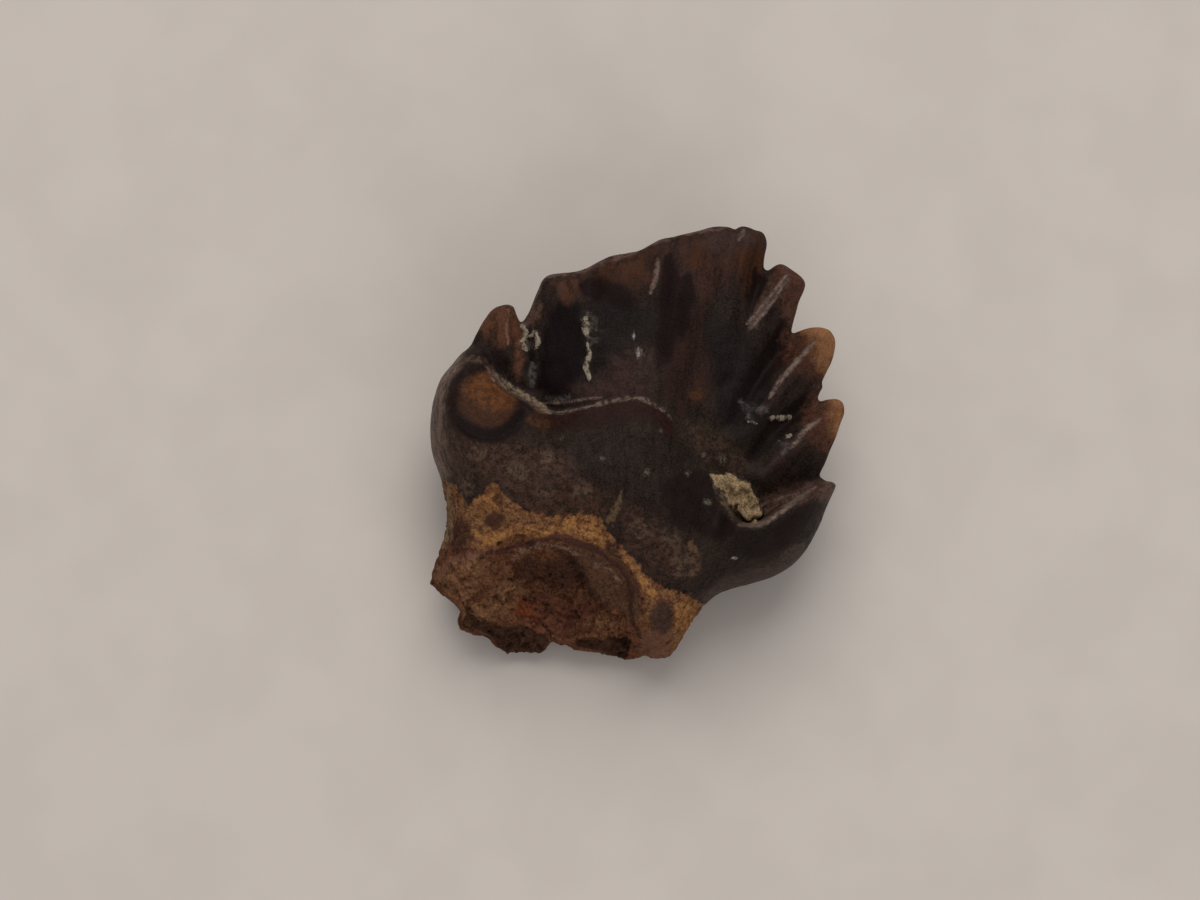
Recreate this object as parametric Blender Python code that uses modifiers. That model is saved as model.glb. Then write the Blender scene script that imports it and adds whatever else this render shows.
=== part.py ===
"""Fossil nodosaur tooth: a crown with denticles, a swollen cingulum and a broken root, grown in one piece.

The tooth is shaped face up. U runs right across its face, V up to the crown and W out of the face, in
millimetres from a point in the middle of the tooth. At the end it leans until it rests on the bulge behind
its cingulum and on the end of its root, and its millimetres become metres.
"""

import math

import bpy
import numpy as np
from mathutils import Matrix, noise
from mathutils.kdtree import KDTree

MILLIMETRE = 0.001
COLLECTION = "fossil_nodosaur_tooth"

# How fine the tooth is shaped and kept
CURVE_STEPS = 6
PLATE_HALF = 1.5
SHAPING_VOXEL = 0.10
SURFACE_VOXEL = 0.11
SMOOTHING_ROUNDS = 2
TRIANGLES = 9000

# How it lies: the lean of its face, and how much of each contact is worn flat
LEAN = math.radians(12.8)
WORN_FLAT = 0.09
GROUND_SLACK = 0.02

# Outline as (u, v), clockwise from the tip of the left cusp. SHARP marks a corner.
SHARP = True
LEFT_CUSP = [(-3.60, 4.92), (-3.36, 4.96), (-3.18, 4.89, SHARP), (-3.09, 4.62), (-2.96, 4.35, SHARP)]
BLADE_FLANK = [(-2.79, 4.62), (-2.61, 5.04), (-2.43, 5.46), (-2.31, 5.70), (-2.13, 5.83)]
BLADE_EDGE = [
    (-1.74, 5.91), (-1.35, 5.95), (-0.99, 6.06), (-0.63, 6.26), (-0.24, 6.42), (0.30, 6.52), (0.66, 6.62),
    (0.96, 6.78), (1.26, 6.93), (1.65, 7.00), (2.04, 7.10), (2.34, 7.17), (2.64, 7.26), (2.94, 7.31),
    (3.27, 7.29), (3.45, 7.20, SHARP), (3.63, 7.31), (3.84, 7.29), (4.05, 7.20), (4.29, 7.11), (4.40, 6.90),
    (4.41, 6.72), (4.36, 6.48), (4.32, 6.21), (4.32, 5.94, SHARP),
]
DENTICLE_1 = [
    (4.47, 6.00), (4.65, 6.12), (4.83, 6.18), (4.98, 6.12), (5.19, 5.97), (5.43, 5.79, SHARP), (5.55, 5.61),
    (5.51, 5.37), (5.37, 5.07), (5.28, 4.74), (5.19, 4.44), (5.10, 4.02, SHARP),
]
DENTICLE_2 = [
    (5.31, 4.14), (5.55, 4.23), (5.85, 4.28), (6.15, 4.25), (6.36, 4.11), (6.46, 3.87), (6.43, 3.54),
    (6.33, 3.21), (6.18, 2.91), (6.04, 2.61, SHARP), (6.09, 2.49, SHARP), (5.98, 2.31), (5.88, 2.01, SHARP),
]
DENTICLE_3 = [
    (6.06, 2.07), (6.30, 2.13), (6.54, 2.12), (6.70, 1.98), (6.74, 1.74), (6.63, 1.41), (6.48, 0.99),
    (6.30, 0.60), (6.15, 0.21), (6.00, -0.09), (5.94, -0.23, SHARP),
]
CINGULUM_CUSP = [(6.06, -0.26), (6.21, -0.33), (6.39, -0.35), (6.49, -0.45, SHARP), (6.42, -0.63)]
CINGULUM_RIGHT = [
    (6.27, -0.96), (6.09, -1.38), (5.88, -1.83), (5.64, -2.28), (5.40, -2.61), (5.10, -2.90), (4.68, -3.15),
    (4.20, -3.33), (3.75, -3.45), (3.33, -3.57), (2.97, -3.72), (2.67, -3.93),
]
ROOT_RIGHT = [(2.46, -4.10, SHARP), (2.22, -4.41), (2.01, -4.77), (1.80, -5.13), (1.62, -5.43), (1.47, -5.58)]
BROKEN_BASE = [
    (1.20, -5.64), (0.84, -5.59), (0.60, -5.61, SHARP), (0.36, -5.70), (0.00, -5.67), (-0.45, -5.55),
    (-0.96, -5.47), (-1.38, -5.41), (-1.56, -5.28, SHARP), (-1.71, -5.26), (-1.89, -5.23),
    (-2.04, -5.13, SHARP), (-2.16, -5.31), (-2.31, -5.46), (-2.70, -5.49), (-3.15, -5.47), (-3.51, -5.43),
    (-3.75, -5.31), (-3.93, -5.10), (-4.26, -4.95), (-4.62, -4.87), (-4.80, -4.77, SHARP), (-4.86, -4.53),
    (-4.77, -4.26, SHARP), (-4.92, -4.08, SHARP), (-5.10, -3.90), (-5.22, -3.79, SHARP), (-5.40, -3.70),
    (-5.52, -3.51, SHARP), (-5.69, -3.41, SHARP),
]
ROOT_LEFT = [(-5.64, -3.18), (-5.52, -2.79), (-5.37, -2.34), (-5.24, -1.89), (-5.18, -1.44), (-5.19, -1.02)]
CINGULUM_LEFT = [
    (-5.28, -0.60), (-5.40, -0.18), (-5.58, 0.33), (-5.67, 0.81), (-5.69, 1.26), (-5.64, 1.86), (-5.52, 2.37),
    (-5.34, 2.79), (-5.07, 3.12), (-4.77, 3.48), (-4.50, 3.72), (-4.35, 4.02), (-4.20, 4.26), (-4.02, 4.56),
    (-3.84, 4.80),
]
OUTLINE = (
    LEFT_CUSP + BLADE_FLANK + BLADE_EDGE + DENTICLE_1 + DENTICLE_2 + DENTICLE_3 + CINGULUM_CUSP
    + CINGULUM_RIGHT + ROOT_RIGHT + BROKEN_BASE + ROOT_LEFT + CINGULUM_LEFT
)

# Half thickness at distance d from the outline: EDGE + swell * sqrt(d)
EDGE = 0.09
CROWN_SWELL = 0.62
BODY_SWELL = 2.2
BASE_SWELL = 1.3
BASE_LINE = [(1.60, -5.60), (-0.50, -5.60), (-3.60, -5.45), (-4.85, -4.70), (-5.70, -3.40)]
BASE_REACH = 0.7

# The tooth's long axis leans right of V by this much, which its body's bulge follows
AXIS_LEAN = math.radians(18)

# Body below the crown, in front: root thickness and the cingulum's bulge on it
ROOT_FRONT = 2.00
BULGE_FRONT = 0.55
BULGE_FRONT_AT = -0.4
BULGE_FRONT_REACH = 1.7

# Body behind: root thickness, the cingulum's bulge and the two lobes on it that touch the ground
ROOT_BACK = 1.45
BULGE_BACK = 0.75
BULGE_BACK_AT = 1.0
BULGE_BACK_REACH = 1.7
LOBES = [((-3.0, 1.9), 0.70), ((2.6, 0.7), 0.40)]
LOBE_REACH = 1.5

# Shelf: the rim of the cingulum across the face, with the crown set back behind it
SHELF = [
    (-5.70, 5.00), (-4.40, 3.85), (-3.78, 2.94), (-3.54, 2.52), (-3.03, 2.16), (-2.34, 1.74), (-1.65, 1.74),
    (-0.84, 1.92), (0.15, 2.13), (0.69, 2.10), (1.05, 1.92), (1.47, 1.62), (1.92, 0.96), (2.37, 0.36),
    (2.73, -0.03), (3.15, -0.75), (3.51, -1.53), (4.11, -1.59), (4.56, -1.23), (5.43, -0.81), (6.06, -0.36),
    (7.00, 0.30),
]
SHELF_STEP = 0.14
CUSP_STEP = 1.3
SOFT_STEP = 1.1
SOFT_SPAN = ((1.1, 1.9), (3.4, 2.8))
BACK_SHELF = [
    (-5.70, 4.60), (-4.20, 3.70), (-3.00, 2.90), (-1.20, 2.90), (0.60, 3.00), (1.90, 2.20), (3.00, 0.80),
    (4.20, -0.20), (5.30, -0.40), (6.10, -0.30), (7.00, 0.20),
]
BACK_STEP = 1.3
VALLEY_DEPTH = 0.35
VALLEY_RIGHT = 0.20
VALLEY_REACH = 0.7

# Grooves run in from the notches and ridges from the tips, each as its line, its height and its width
GROOVES = [
    ([(-2.97, 4.35), (-2.70, 3.30), (-2.40, 2.10)], 0.30, 0.40),
    ([(-0.87, 5.70), (-0.96, 3.90), (-0.96, 2.40)], 0.12, 0.40),
    ([(1.05, 6.75), (0.75, 4.80), (0.45, 2.40)], 0.04, 0.40),
    ([(3.45, 7.23), (2.76, 4.80), (2.10, 2.10)], 0.09, 0.40),
    ([(4.29, 6.00), (3.75, 4.20), (2.85, 2.10)], 0.34, 0.45),
    ([(5.10, 4.05), (4.05, 2.55), (3.15, 0.90)], 0.44, 0.52),
    ([(5.91, 2.04), (4.65, 1.20), (3.66, 0.00)], 0.42, 0.50),
    ([(5.97, -0.21), (5.10, -0.66), (4.11, -1.20)], 0.20, 0.40),
]
RIDGES = [
    ([(-3.24, 4.92), (-3.36, 4.20), (-3.33, 3.60), (-3.36, 3.06)], 0.22, 0.50),
    ([(-1.70, 5.80), (-1.92, 5.10), (-2.14, 4.20), (-2.10, 3.00)], 0.20, 0.55),
    ([(0.06, 6.42), (-0.06, 4.50), (-0.24, 2.40)], 0.04, 0.55),
    ([(1.20, 6.50), (1.04, 5.67), (0.80, 4.90)], 0.04, 0.30),
    ([(2.19, 7.08), (1.80, 4.80), (1.20, 2.40)], 0.07, 0.60),
    ([(3.84, 7.23), (3.45, 5.10), (2.55, 2.10)], 0.10, 0.45),
    ([(5.00, 5.82), (3.83, 4.23), (3.20, 2.70)], 0.30, 0.44),
    ([(5.82, 3.78), (4.47, 2.22), (3.30, 0.60)], 0.38, 0.48),
    ([(5.91, 1.59), (5.12, 0.69), (3.90, -0.45)], 0.36, 0.48),
]
INWARD_FADE = 0.55

# Round wear dimple on the left end of the cingulum: centre, half sizes and depth
DIMPLE_AT = (-3.93, 2.08)
DIMPLE_HALF = (1.16, 1.12)
DIMPLE_DEPTH = 0.55

# The root is broken off along a slope that faces down and out, except at its right wall
BREAK_AT = -2.55
BREAK_AT_LEFT = -0.7
BREAK_LEFT = (-3.0, -4.8)
BREAK_HEIGHT = 1.6
BREAK_SLOPE = 0.75
BREAK_WALL = (-2.4, 0.8)
BREAK_WALL_HEIGHT = 3.0

# Hollow in the break: its rim, its bowl, and the edge of the smooth wall from which its floor steps down
HOLLOW_AT = (-1.95, -4.26)
HOLLOW_HALF = (2.75, 2.22)
HOLLOW_RIM = 2.0
HOLLOW_DEPTH = 2.2
WALL_FOOT = [
    (-4.20, -3.30), (-3.30, -2.80), (-2.60, -2.52), (-1.90, -2.46), (-1.47, -2.60), (-1.14, -3.12),
    (-0.86, -3.66), (-0.66, -3.92), (-0.42, -4.04), (0.08, -4.29), (0.40, -4.65), (0.80, -5.30),
]
WALL_FOOT_SPAN = (-3.6, -2.2)
FLOOR_DEPTH = 0.34
LEAST_WALL = 0.42

# Lip below the hollow: its line and height, its rise to the left, and how fast the break falls on both sides
LIP = [
    (-5.20, -3.30), (-4.40, -4.20), (-3.70, -4.58), (-3.00, -4.58), (-2.45, -4.81), (-1.75, -5.07),
    (-0.95, -5.04), (0.20, -4.95), (1.00, -5.20),
]
LIP_HEIGHT = -0.05
LIP_RISE = 1.0
LIP_RISE_SPAN = (-3.2, -5.2)
LIP_END = (0.1, 0.9)
LIP_FALL = 0.8
LIP_FALL_INWARD = 3.0

# Lumps that age and wear left, as size and height
BODY_LUMPS = (1.3, 0.05)
BREAK_LUMPS = (0.55, 0.16)

# The broken base lies toward the back, except at its right corner
BASE_SET_BACK = 0.80
BASE_HALF = 0.42
BASE_RISE = (-3.60, -5.20)
BASE_LEFT = (-5.40, -3.60)
BASE_RIGHT = (1.10, 0.30)

# Sediment left in the shelf's valley
CRUMB_LINE = [(3.00, -0.35), (3.50, -0.80), (3.92, -1.35)]
CRUMB_HEIGHT = 0.30
CRUMB_WIDTH = 0.26

ENAMEL_BROWN = (0.035, 0.022, 0.017, 1.0)


def ramp(x, start, end):
    """0 before start and 1 past end, smooth between them."""
    t = np.clip((x - start) / (end - start), 0, 1)
    return t * t * (3 - 2 * t)


def bump(x, reach):
    """1 at zero, dying away over reach on both sides."""
    return np.exp(-((x / reach) ** 2))


def roof(x, reach, rounding=0.12):
    """1 at zero and straight down to nothing at reach, with its crest and its foot a little rounded."""
    slope = 1 - (np.sqrt(x * x + (rounding * reach) ** 2) - rounding * reach) / reach
    return (slope + np.sqrt(slope * slope + 0.02)) / (1 + math.sqrt(1.02))


def lesser(a, b, blend):
    """The lesser of two heights, rounded where they cross."""
    h = np.clip(0.5 + 0.5 * (b - a) / blend, 0, 1)
    return b + (a - b) * h - blend * h * (1 - h)


def smooth_line(points, steps=5):
    """A smooth line through the points, as more points."""
    points = np.array(points)
    padded = np.concatenate([2 * points[:1] - points[1:2], points, 2 * points[-1:] - points[-2:-1]])
    line = []
    for before, start, end, after in zip(padded, padded[1:], padded[2:], padded[3:]):
        for t in np.arange(steps) / steps:
            bend = (2 * before - 5 * start + 4 * end - after) * t**2
            twist = (3 * start - before - 3 * end + after) * t**3
            line.append((2 * start + (end - before) * t + bend + twist) / 2)
    return np.array(line + [points[-1]])


def along_line(u, v, points):
    """Distance of every spot from a line of points, and how far along that line it is, from 0 to 1."""
    line = smooth_line(points)
    lengths = np.linalg.norm(np.diff(line, axis=0), axis=1)
    starts = np.concatenate([[0], np.cumsum(lengths)])
    nearest = np.full(len(u), np.inf)
    share = np.zeros(len(u))
    for start, end, length, before in zip(line[:-1], line[1:], lengths, starts[:-1]):
        way = (end - start) / length
        t = np.clip((u - start[0]) * way[0] + (v - start[1]) * way[1], 0, length)
        distance = np.hypot(u - start[0] - t * way[0], v - start[1] - t * way[1])
        closer = distance < nearest
        nearest[closer] = distance[closer]
        share[closer] = (before + t[closer]) / starts[-1]
    return nearest, share


def below_line(u, v, points):
    """Signed distance below a line that runs left to right."""
    line = smooth_line(points)
    side = np.where(v < np.interp(u, line[:, 0], line[:, 1]), 1, -1)
    return side * along_line(u, v, points)[0]


def lumps(u, v, size, height):
    """Soft uneven lumps of one size."""
    return height * np.array([noise.noise((x / size, y / size, size)) for x, y in zip(u, v)])


def oval(u, v, centre, half):
    """Square of the distance from an oval's centre, 1 on its rim."""
    return ((u - centre[0]) / half[0]) ** 2 + ((v - centre[1]) / half[1]) ** 2


def outline_distance(u, v, rim):
    """Distance of every spot from the closed outline."""
    tree = KDTree(len(rim))
    for number, (x, y) in enumerate(rim):
        tree.insert((x, y, 0), number)
    tree.balance()
    nearest = np.array([tree.find((x, y, 0))[1] for x, y in zip(u, v)])
    distance = np.full(len(u), np.inf)
    for step in (-1, 0):
        start = rim[(nearest + step) % len(rim)]
        way = rim[(nearest + step + 1) % len(rim)] - start
        length = np.maximum(np.linalg.norm(way, axis=1), 1e-9)
        t = np.clip(((u - start[:, 0]) * way[:, 0] + (v - start[:, 1]) * way[:, 1]) / length**2, 0, 1)
        here = np.hypot(u - start[:, 0] - t * way[:, 0], v - start[:, 1] - t * way[:, 1])
        distance = np.minimum(distance, here)
    return distance


def crown_relief(u, v, inside):
    """Ridges and grooves of the crown, strongest at its edge."""
    relief = np.zeros(len(u))
    for line, height, width in RIDGES:
        distance, share = along_line(u, v, line)
        relief += height * roof(distance, width) * (1 - INWARD_FADE * share) * ramp(1 - share, 0, 0.15)
    for line, depth, width in GROOVES:
        distance, share = along_line(u, v, line)
        relief -= depth * roof(distance, width) * (1 - INWARD_FADE * share) * ramp(1 - share, 0, 0.15)
    return relief * ramp(inside, 0.02, 0.35)


def set_back(u, v):
    """How far the middle of the thickness lies back, which it does along the broken base."""
    return BASE_SET_BACK * ramp(v, *BASE_RISE) * ramp(u, *BASE_LEFT) * ramp(u, *BASE_RIGHT)


def front(u, v, inside):
    """Height of the front face."""
    base = bump(along_line(u, v, BASE_LINE)[0], BASE_REACH)
    swell = BODY_SWELL + (BASE_SWELL - BODY_SWELL) * base
    crown = EDGE + CROWN_SWELL * np.sqrt(inside) + crown_relief(u, v, inside)
    along = u * math.sin(AXIS_LEAN) + v * math.cos(AXIS_LEAN)
    body = ROOT_FRONT + BULGE_FRONT * bump(along - BULGE_FRONT_AT, BULGE_FRONT_REACH)

    shelf = below_line(u, v, SHELF)
    middle = ramp(u, -2.6, -0.8) * ramp(u, 3.4, 2.2) * bump(shelf, 1.0)
    body = body + (crown + 0.12 - body) * 0.85 * middle
    body = lesser(body, EDGE + swell * np.sqrt(inside), 0.5)

    ends = np.maximum(ramp(u, -0.6, -2.2), ramp(u, 2.4, 3.6)) * ramp(u, -4.0, -3.2)
    valley = VALLEY_DEPTH + (VALLEY_RIGHT - VALLEY_DEPTH) * ramp(u, 2.4, 3.6)
    crown = crown - valley * ends * bump(shelf, VALLEY_REACH) * ramp(inside, 0.1, 0.8)
    crumb, share = along_line(u, v, CRUMB_LINE)
    crown = crown + CRUMB_HEIGHT * bump(crumb, CRUMB_WIDTH * (0.6 + 0.6 * share))
    step = SHELF_STEP + (CUSP_STEP - SHELF_STEP) * ramp(u, -3.6, -4.4)
    step = step + (SOFT_STEP - SHELF_STEP) * ramp(u, *SOFT_SPAN[0]) * ramp(u, *SOFT_SPAN[1])
    height = crown + (body - crown) * ramp(shelf, -0.3 * step, 0.7 * step)

    dimple = np.clip(1 - oval(u, v, DIMPLE_AT, DIMPLE_HALF), 0, 1) * ramp(shelf, -0.12, 0.10)
    height = height - DIMPLE_DEPTH * dimple
    height = height - set_back(u, v) + lumps(u, v, *BODY_LUMPS)
    return lesser(lesser(height, broken_root(u, v), 0.12), broken_edge(u, v), 0.12)


def broken_root(u, v):
    """Height of the sloping break across the root, with the hollow in it."""
    start = BREAK_AT + BREAK_AT_LEFT * ramp(u, *BREAK_LEFT)
    slope = BREAK_HEIGHT + BREAK_SLOPE * (v - start) + BREAK_WALL_HEIGHT * ramp(u, *BREAK_WALL)
    slope = slope + lumps(u, v, *BREAK_LUMPS)
    bowl = HOLLOW_RIM - HOLLOW_DEPTH * (1 - oval(u, v, HOLLOW_AT, HOLLOW_HALF))
    floor = below_line(u, v, WALL_FOOT)
    floor = ramp(floor, 0, 0.10) * (1 - 0.8 * ramp(floor, 0.5, 2.0)) * ramp(u, *WALL_FOOT_SPAN)
    bowl = bowl - floor * (FLOOR_DEPTH + lumps(u, v, *BREAK_LUMPS))
    return lesser(slope, bowl, 0.12)


def broken_edge(u, v):
    """Height of the break that falls from the lip below the hollow to the outline."""
    lip = LIP_HEIGHT + LIP_RISE * ramp(u, *LIP_RISE_SPAN) + BREAK_WALL_HEIGHT * ramp(u, *LIP_END)
    below = below_line(u, v, LIP)
    return lip - LIP_FALL * np.maximum(below, 0) - LIP_FALL_INWARD * np.minimum(below, 0)


def back(u, v, inside):
    """Height of the back face."""
    base = bump(along_line(u, v, BASE_LINE)[0], BASE_REACH)
    swell = BODY_SWELL + (BASE_SWELL - BODY_SWELL) * base
    crown = EDGE + CROWN_SWELL * np.sqrt(inside) + 0.8 * crown_relief(u, v, inside)
    along = u * math.sin(AXIS_LEAN) + v * math.cos(AXIS_LEAN)
    body = ROOT_BACK + BULGE_BACK * bump(along - BULGE_BACK_AT, BULGE_BACK_REACH)
    for (lobe_u, lobe_v), height in LOBES:
        body = body + height * bump(np.hypot(u - lobe_u, v - lobe_v), LOBE_REACH)
    body = body + (BASE_HALF - body) * set_back(u, v) / BASE_SET_BACK
    body = lesser(body, EDGE + swell * np.sqrt(inside), 0.5)
    shelf = below_line(u, v, BACK_SHELF)
    depth = crown + (body - crown) * ramp(shelf, -0.5 * BACK_STEP, 0.5 * BACK_STEP)
    return -depth - set_back(u, v)


def outline_curve():
    """The outline as a flat closed curve, smooth except at its corners."""
    curve = bpy.data.curves.new("outline", "CURVE")
    curve.dimensions = "2D"
    curve.resolution_u = CURVE_STEPS
    spline = curve.splines.new("BEZIER")
    spline.bezier_points.add(len(OUTLINE) - 1)
    spline.use_cyclic_u = True
    for point, (u, v, *sharp) in zip(spline.bezier_points, OUTLINE):
        point.co = (u, v, 0)
        point.handle_left_type = "VECTOR" if sharp else "AUTO"
        point.handle_right_type = "VECTOR" if sharp else "AUTO"
    shape = bpy.data.objects.new("outline", curve)
    bpy.context.scene.collection.objects.link(shape)
    return shape


def evaluated_mesh(shape):
    """A mesh of an object as its modifiers leave it."""
    depsgraph = bpy.context.evaluated_depsgraph_get()
    return bpy.data.meshes.new_from_object(shape.evaluated_get(depsgraph), depsgraph=depsgraph)


def with_modifier(shape, kind, **settings):
    """The object's mesh after one modifier."""
    modifier = shape.modifiers.new(kind.lower(), kind)
    for name, value in settings.items():
        setattr(modifier, name, value)
    mesh = evaluated_mesh(shape)
    shape.modifiers.clear()
    shape.data = mesh


def corners(mesh):
    """The mesh's vertex positions as three columns."""
    flat = np.empty(len(mesh.vertices) * 3)
    mesh.vertices.foreach_get("co", flat)
    return flat.reshape(-1, 3)


def move_corners(mesh, places):
    """Give the mesh new vertex positions."""
    mesh.vertices.foreach_set("co", places.ravel())
    mesh.update()


def plate_and_rim():
    """A flat plate of the outline's shape, and the outline as points."""
    shape = outline_curve()
    rim = corners(evaluated_mesh(shape))[:, :2]
    shape.data.fill_mode = "BOTH"
    shape.data.extrude = PLATE_HALF
    plate = bpy.data.objects.new("tooth", evaluated_mesh(shape))
    bpy.data.objects.remove(shape)
    return plate, rim


def shape_faces(tooth, rim):
    """Give the plate its front and back faces."""
    places = corners(tooth.data)
    u, v, w = places.T
    inside = outline_distance(u, v, rim)
    high = front(u, v, inside)
    low = back(u, v, inside)
    high = np.maximum(high, low + LEAST_WALL * ramp(inside, 0, 0.3))
    share = np.clip(w / PLATE_HALF, -1, 1)
    places[:, 2] = (high + low) / 2 + share * (high - low) / 2
    move_corners(tooth.data, places)


def lay_down(tooth):
    """Lean the tooth onto its back, on the ground, with its contacts worn flat."""
    tooth.data.transform(Matrix.Rotation(LEAN, 4, "X"))
    places = corners(tooth.data)
    places[:, 2] = np.maximum(places[:, 2] - places[:, 2].min() - WORN_FLAT, 0)
    move_corners(tooth.data, places)


def centre(tooth):
    """Put the tooth over the origin, press what nearly touches the ground onto it and turn it into metres."""
    places = corners(tooth.data)
    places[:, :2] -= (places.min(axis=0) + places.max(axis=0))[:2] / 2
    places[places[:, 2] < GROUND_SLACK, 2] = 0
    move_corners(tooth.data, places * MILLIMETRE)


def enamel():
    """Dark brown, satin fossil enamel."""
    material = bpy.data.materials.new("fossil_enamel")
    material.use_nodes = True
    shader = material.node_tree.nodes["Principled BSDF"]
    shader.inputs["Base Color"].default_value = ENAMEL_BROWN
    shader.inputs["Roughness"].default_value = 0.35
    shader.inputs["Metallic"].default_value = 0.0
    return material


def build_tooth():
    collection = bpy.data.collections.new(COLLECTION)
    bpy.context.scene.collection.children.link(collection)
    tooth, rim = plate_and_rim()
    collection.objects.link(tooth)
    with_modifier(tooth, "REMESH", mode="VOXEL", voxel_size=SHAPING_VOXEL)
    shape_faces(tooth, rim)
    with_modifier(tooth, "REMESH", mode="VOXEL", voxel_size=SURFACE_VOXEL)
    with_modifier(tooth, "SMOOTH", factor=0.5, iterations=SMOOTHING_ROUNDS)
    with_modifier(tooth, "TRIANGULATE")
    lay_down(tooth)
    with_modifier(tooth, "DECIMATE", ratio=TRIANGLES / len(tooth.data.polygons))
    centre(tooth)
    tooth.data.materials.append(enamel())


for old in list(bpy.data.objects):
    bpy.data.objects.remove(old)
build_tooth()
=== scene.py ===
"""Looks of the fossil nodosaur tooth: its fine surface, its colours, the light and the camera.

The tooth is shaped face up. U runs right across its face, V up to the crown and W out of the face, in
millimetres from a point in the middle of the tooth, as in the solid. At the end it leans until it rests on
its back, and its millimetres become metres.
"""

import math

from collections import namedtuple
from types import SimpleNamespace

import bpy
import numpy as np
from mathutils import Matrix, Vector, noise
from mathutils.kdtree import KDTree


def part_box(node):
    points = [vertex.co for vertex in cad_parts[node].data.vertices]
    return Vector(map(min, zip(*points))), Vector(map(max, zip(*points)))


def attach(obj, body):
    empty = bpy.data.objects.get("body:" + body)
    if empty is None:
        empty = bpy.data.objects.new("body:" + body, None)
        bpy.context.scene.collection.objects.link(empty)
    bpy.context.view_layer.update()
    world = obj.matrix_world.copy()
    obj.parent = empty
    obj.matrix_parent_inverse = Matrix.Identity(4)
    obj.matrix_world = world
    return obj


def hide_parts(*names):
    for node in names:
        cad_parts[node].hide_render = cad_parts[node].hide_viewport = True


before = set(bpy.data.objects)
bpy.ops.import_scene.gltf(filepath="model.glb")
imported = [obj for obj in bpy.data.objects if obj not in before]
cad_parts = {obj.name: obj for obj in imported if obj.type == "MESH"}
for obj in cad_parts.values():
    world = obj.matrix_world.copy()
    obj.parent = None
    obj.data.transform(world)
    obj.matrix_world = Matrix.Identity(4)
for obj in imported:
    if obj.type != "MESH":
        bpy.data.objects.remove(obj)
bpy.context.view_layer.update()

MILLIMETRE = 0.001
SEED = 7

# How fine the tooth is shaped and kept
CURVE_STEPS = 10
PLATE_HALF = 1.5
SHAPING_VOXEL = 0.055
SURFACE_VOXEL = 0.042
TRIANGLES = 195000

# How it lies: the lean of its face, and how much of each contact is worn flat
LEAN = math.radians(12.8)
WORN_FLAT = 0.09

# Outline as (u, v), clockwise from the tip of the left cusp. SHARP marks a corner.
SHARP = True
LEFT_CUSP = [(-3.6, 4.92), (-3.36, 4.96), (-3.18, 4.89, SHARP), (-3.09, 4.62), (-2.96, 4.35, SHARP)]
BLADE_FLANK = [(-2.79, 4.62), (-2.61, 5.04), (-2.43, 5.46), (-2.31, 5.7), (-2.13, 5.83)]
BLADE_EDGE = [
    (-1.74, 5.91), (-1.35, 5.95), (-0.99, 6.06), (-0.63, 6.26), (-0.24, 6.42), (0.3, 6.52), (0.66, 6.62),
    (0.96, 6.78), (1.26, 6.93), (1.65, 7.0), (2.04, 7.1), (2.34, 7.17), (2.64, 7.26), (2.94, 7.31),
    (3.27, 7.29), (3.45, 7.2, SHARP), (3.63, 7.31), (3.84, 7.29), (4.05, 7.2), (4.29, 7.11), (4.4, 6.9),
    (4.41, 6.72), (4.36, 6.48), (4.32, 6.21), (4.32, 5.94, SHARP),
]
DENTICLE_1 = [
    (4.47, 6.0), (4.65, 6.12), (4.83, 6.18), (4.98, 6.12), (5.19, 5.97), (5.43, 5.79, SHARP), (5.55, 5.61),
    (5.51, 5.37), (5.37, 5.07), (5.28, 4.74), (5.19, 4.44), (5.1, 4.02, SHARP),
]
DENTICLE_2 = [
    (5.31, 4.14), (5.55, 4.23), (5.85, 4.28), (6.15, 4.25), (6.36, 4.11), (6.46, 3.87), (6.43, 3.54),
    (6.33, 3.21), (6.18, 2.91), (6.04, 2.61, SHARP), (6.09, 2.49, SHARP), (5.98, 2.31), (5.88, 2.01, SHARP),
]
DENTICLE_3 = [
    (6.06, 2.07), (6.3, 2.13), (6.54, 2.12), (6.7, 1.98), (6.74, 1.74), (6.63, 1.41), (6.48, 0.99),
    (6.3, 0.6), (6.15, 0.21), (6.0, -0.09), (5.94, -0.23, SHARP),
]
CINGULUM_CUSP = [(6.06, -0.26), (6.21, -0.33), (6.39, -0.35), (6.49, -0.45, SHARP), (6.42, -0.63)]
CINGULUM_RIGHT = [
    (6.27, -0.96), (6.09, -1.38), (5.88, -1.83), (5.64, -2.28), (5.4, -2.61), (5.1, -2.9), (4.68, -3.15),
    (4.2, -3.33), (3.75, -3.45), (3.33, -3.57), (2.97, -3.72), (2.67, -3.93),
]
ROOT_RIGHT = [(2.46, -4.1, SHARP), (2.22, -4.41), (2.01, -4.77), (1.8, -5.13), (1.62, -5.43), (1.47, -5.58)]
BROKEN_BASE = [
    (1.2, -5.64), (0.84, -5.59), (0.6, -5.61, SHARP), (0.36, -5.7), (0.0, -5.67), (-0.45, -5.55),
    (-0.96, -5.47), (-1.38, -5.41), (-1.56, -5.28, SHARP), (-1.71, -5.26), (-1.89, -5.23),
    (-2.04, -5.13, SHARP), (-2.16, -5.31), (-2.31, -5.46), (-2.7, -5.49), (-3.15, -5.47), (-3.51, -5.43),
    (-3.75, -5.31), (-3.93, -5.1), (-4.26, -4.95), (-4.62, -4.87), (-4.8, -4.77, SHARP), (-4.86, -4.53),
    (-4.77, -4.26, SHARP), (-4.92, -4.08, SHARP), (-5.1, -3.9), (-5.22, -3.79, SHARP), (-5.4, -3.7),
    (-5.52, -3.51, SHARP), (-5.69, -3.41, SHARP),
]
ROOT_LEFT = [(-5.64, -3.18), (-5.52, -2.79), (-5.37, -2.34), (-5.24, -1.89), (-5.18, -1.44), (-5.19, -1.02)]
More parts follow.
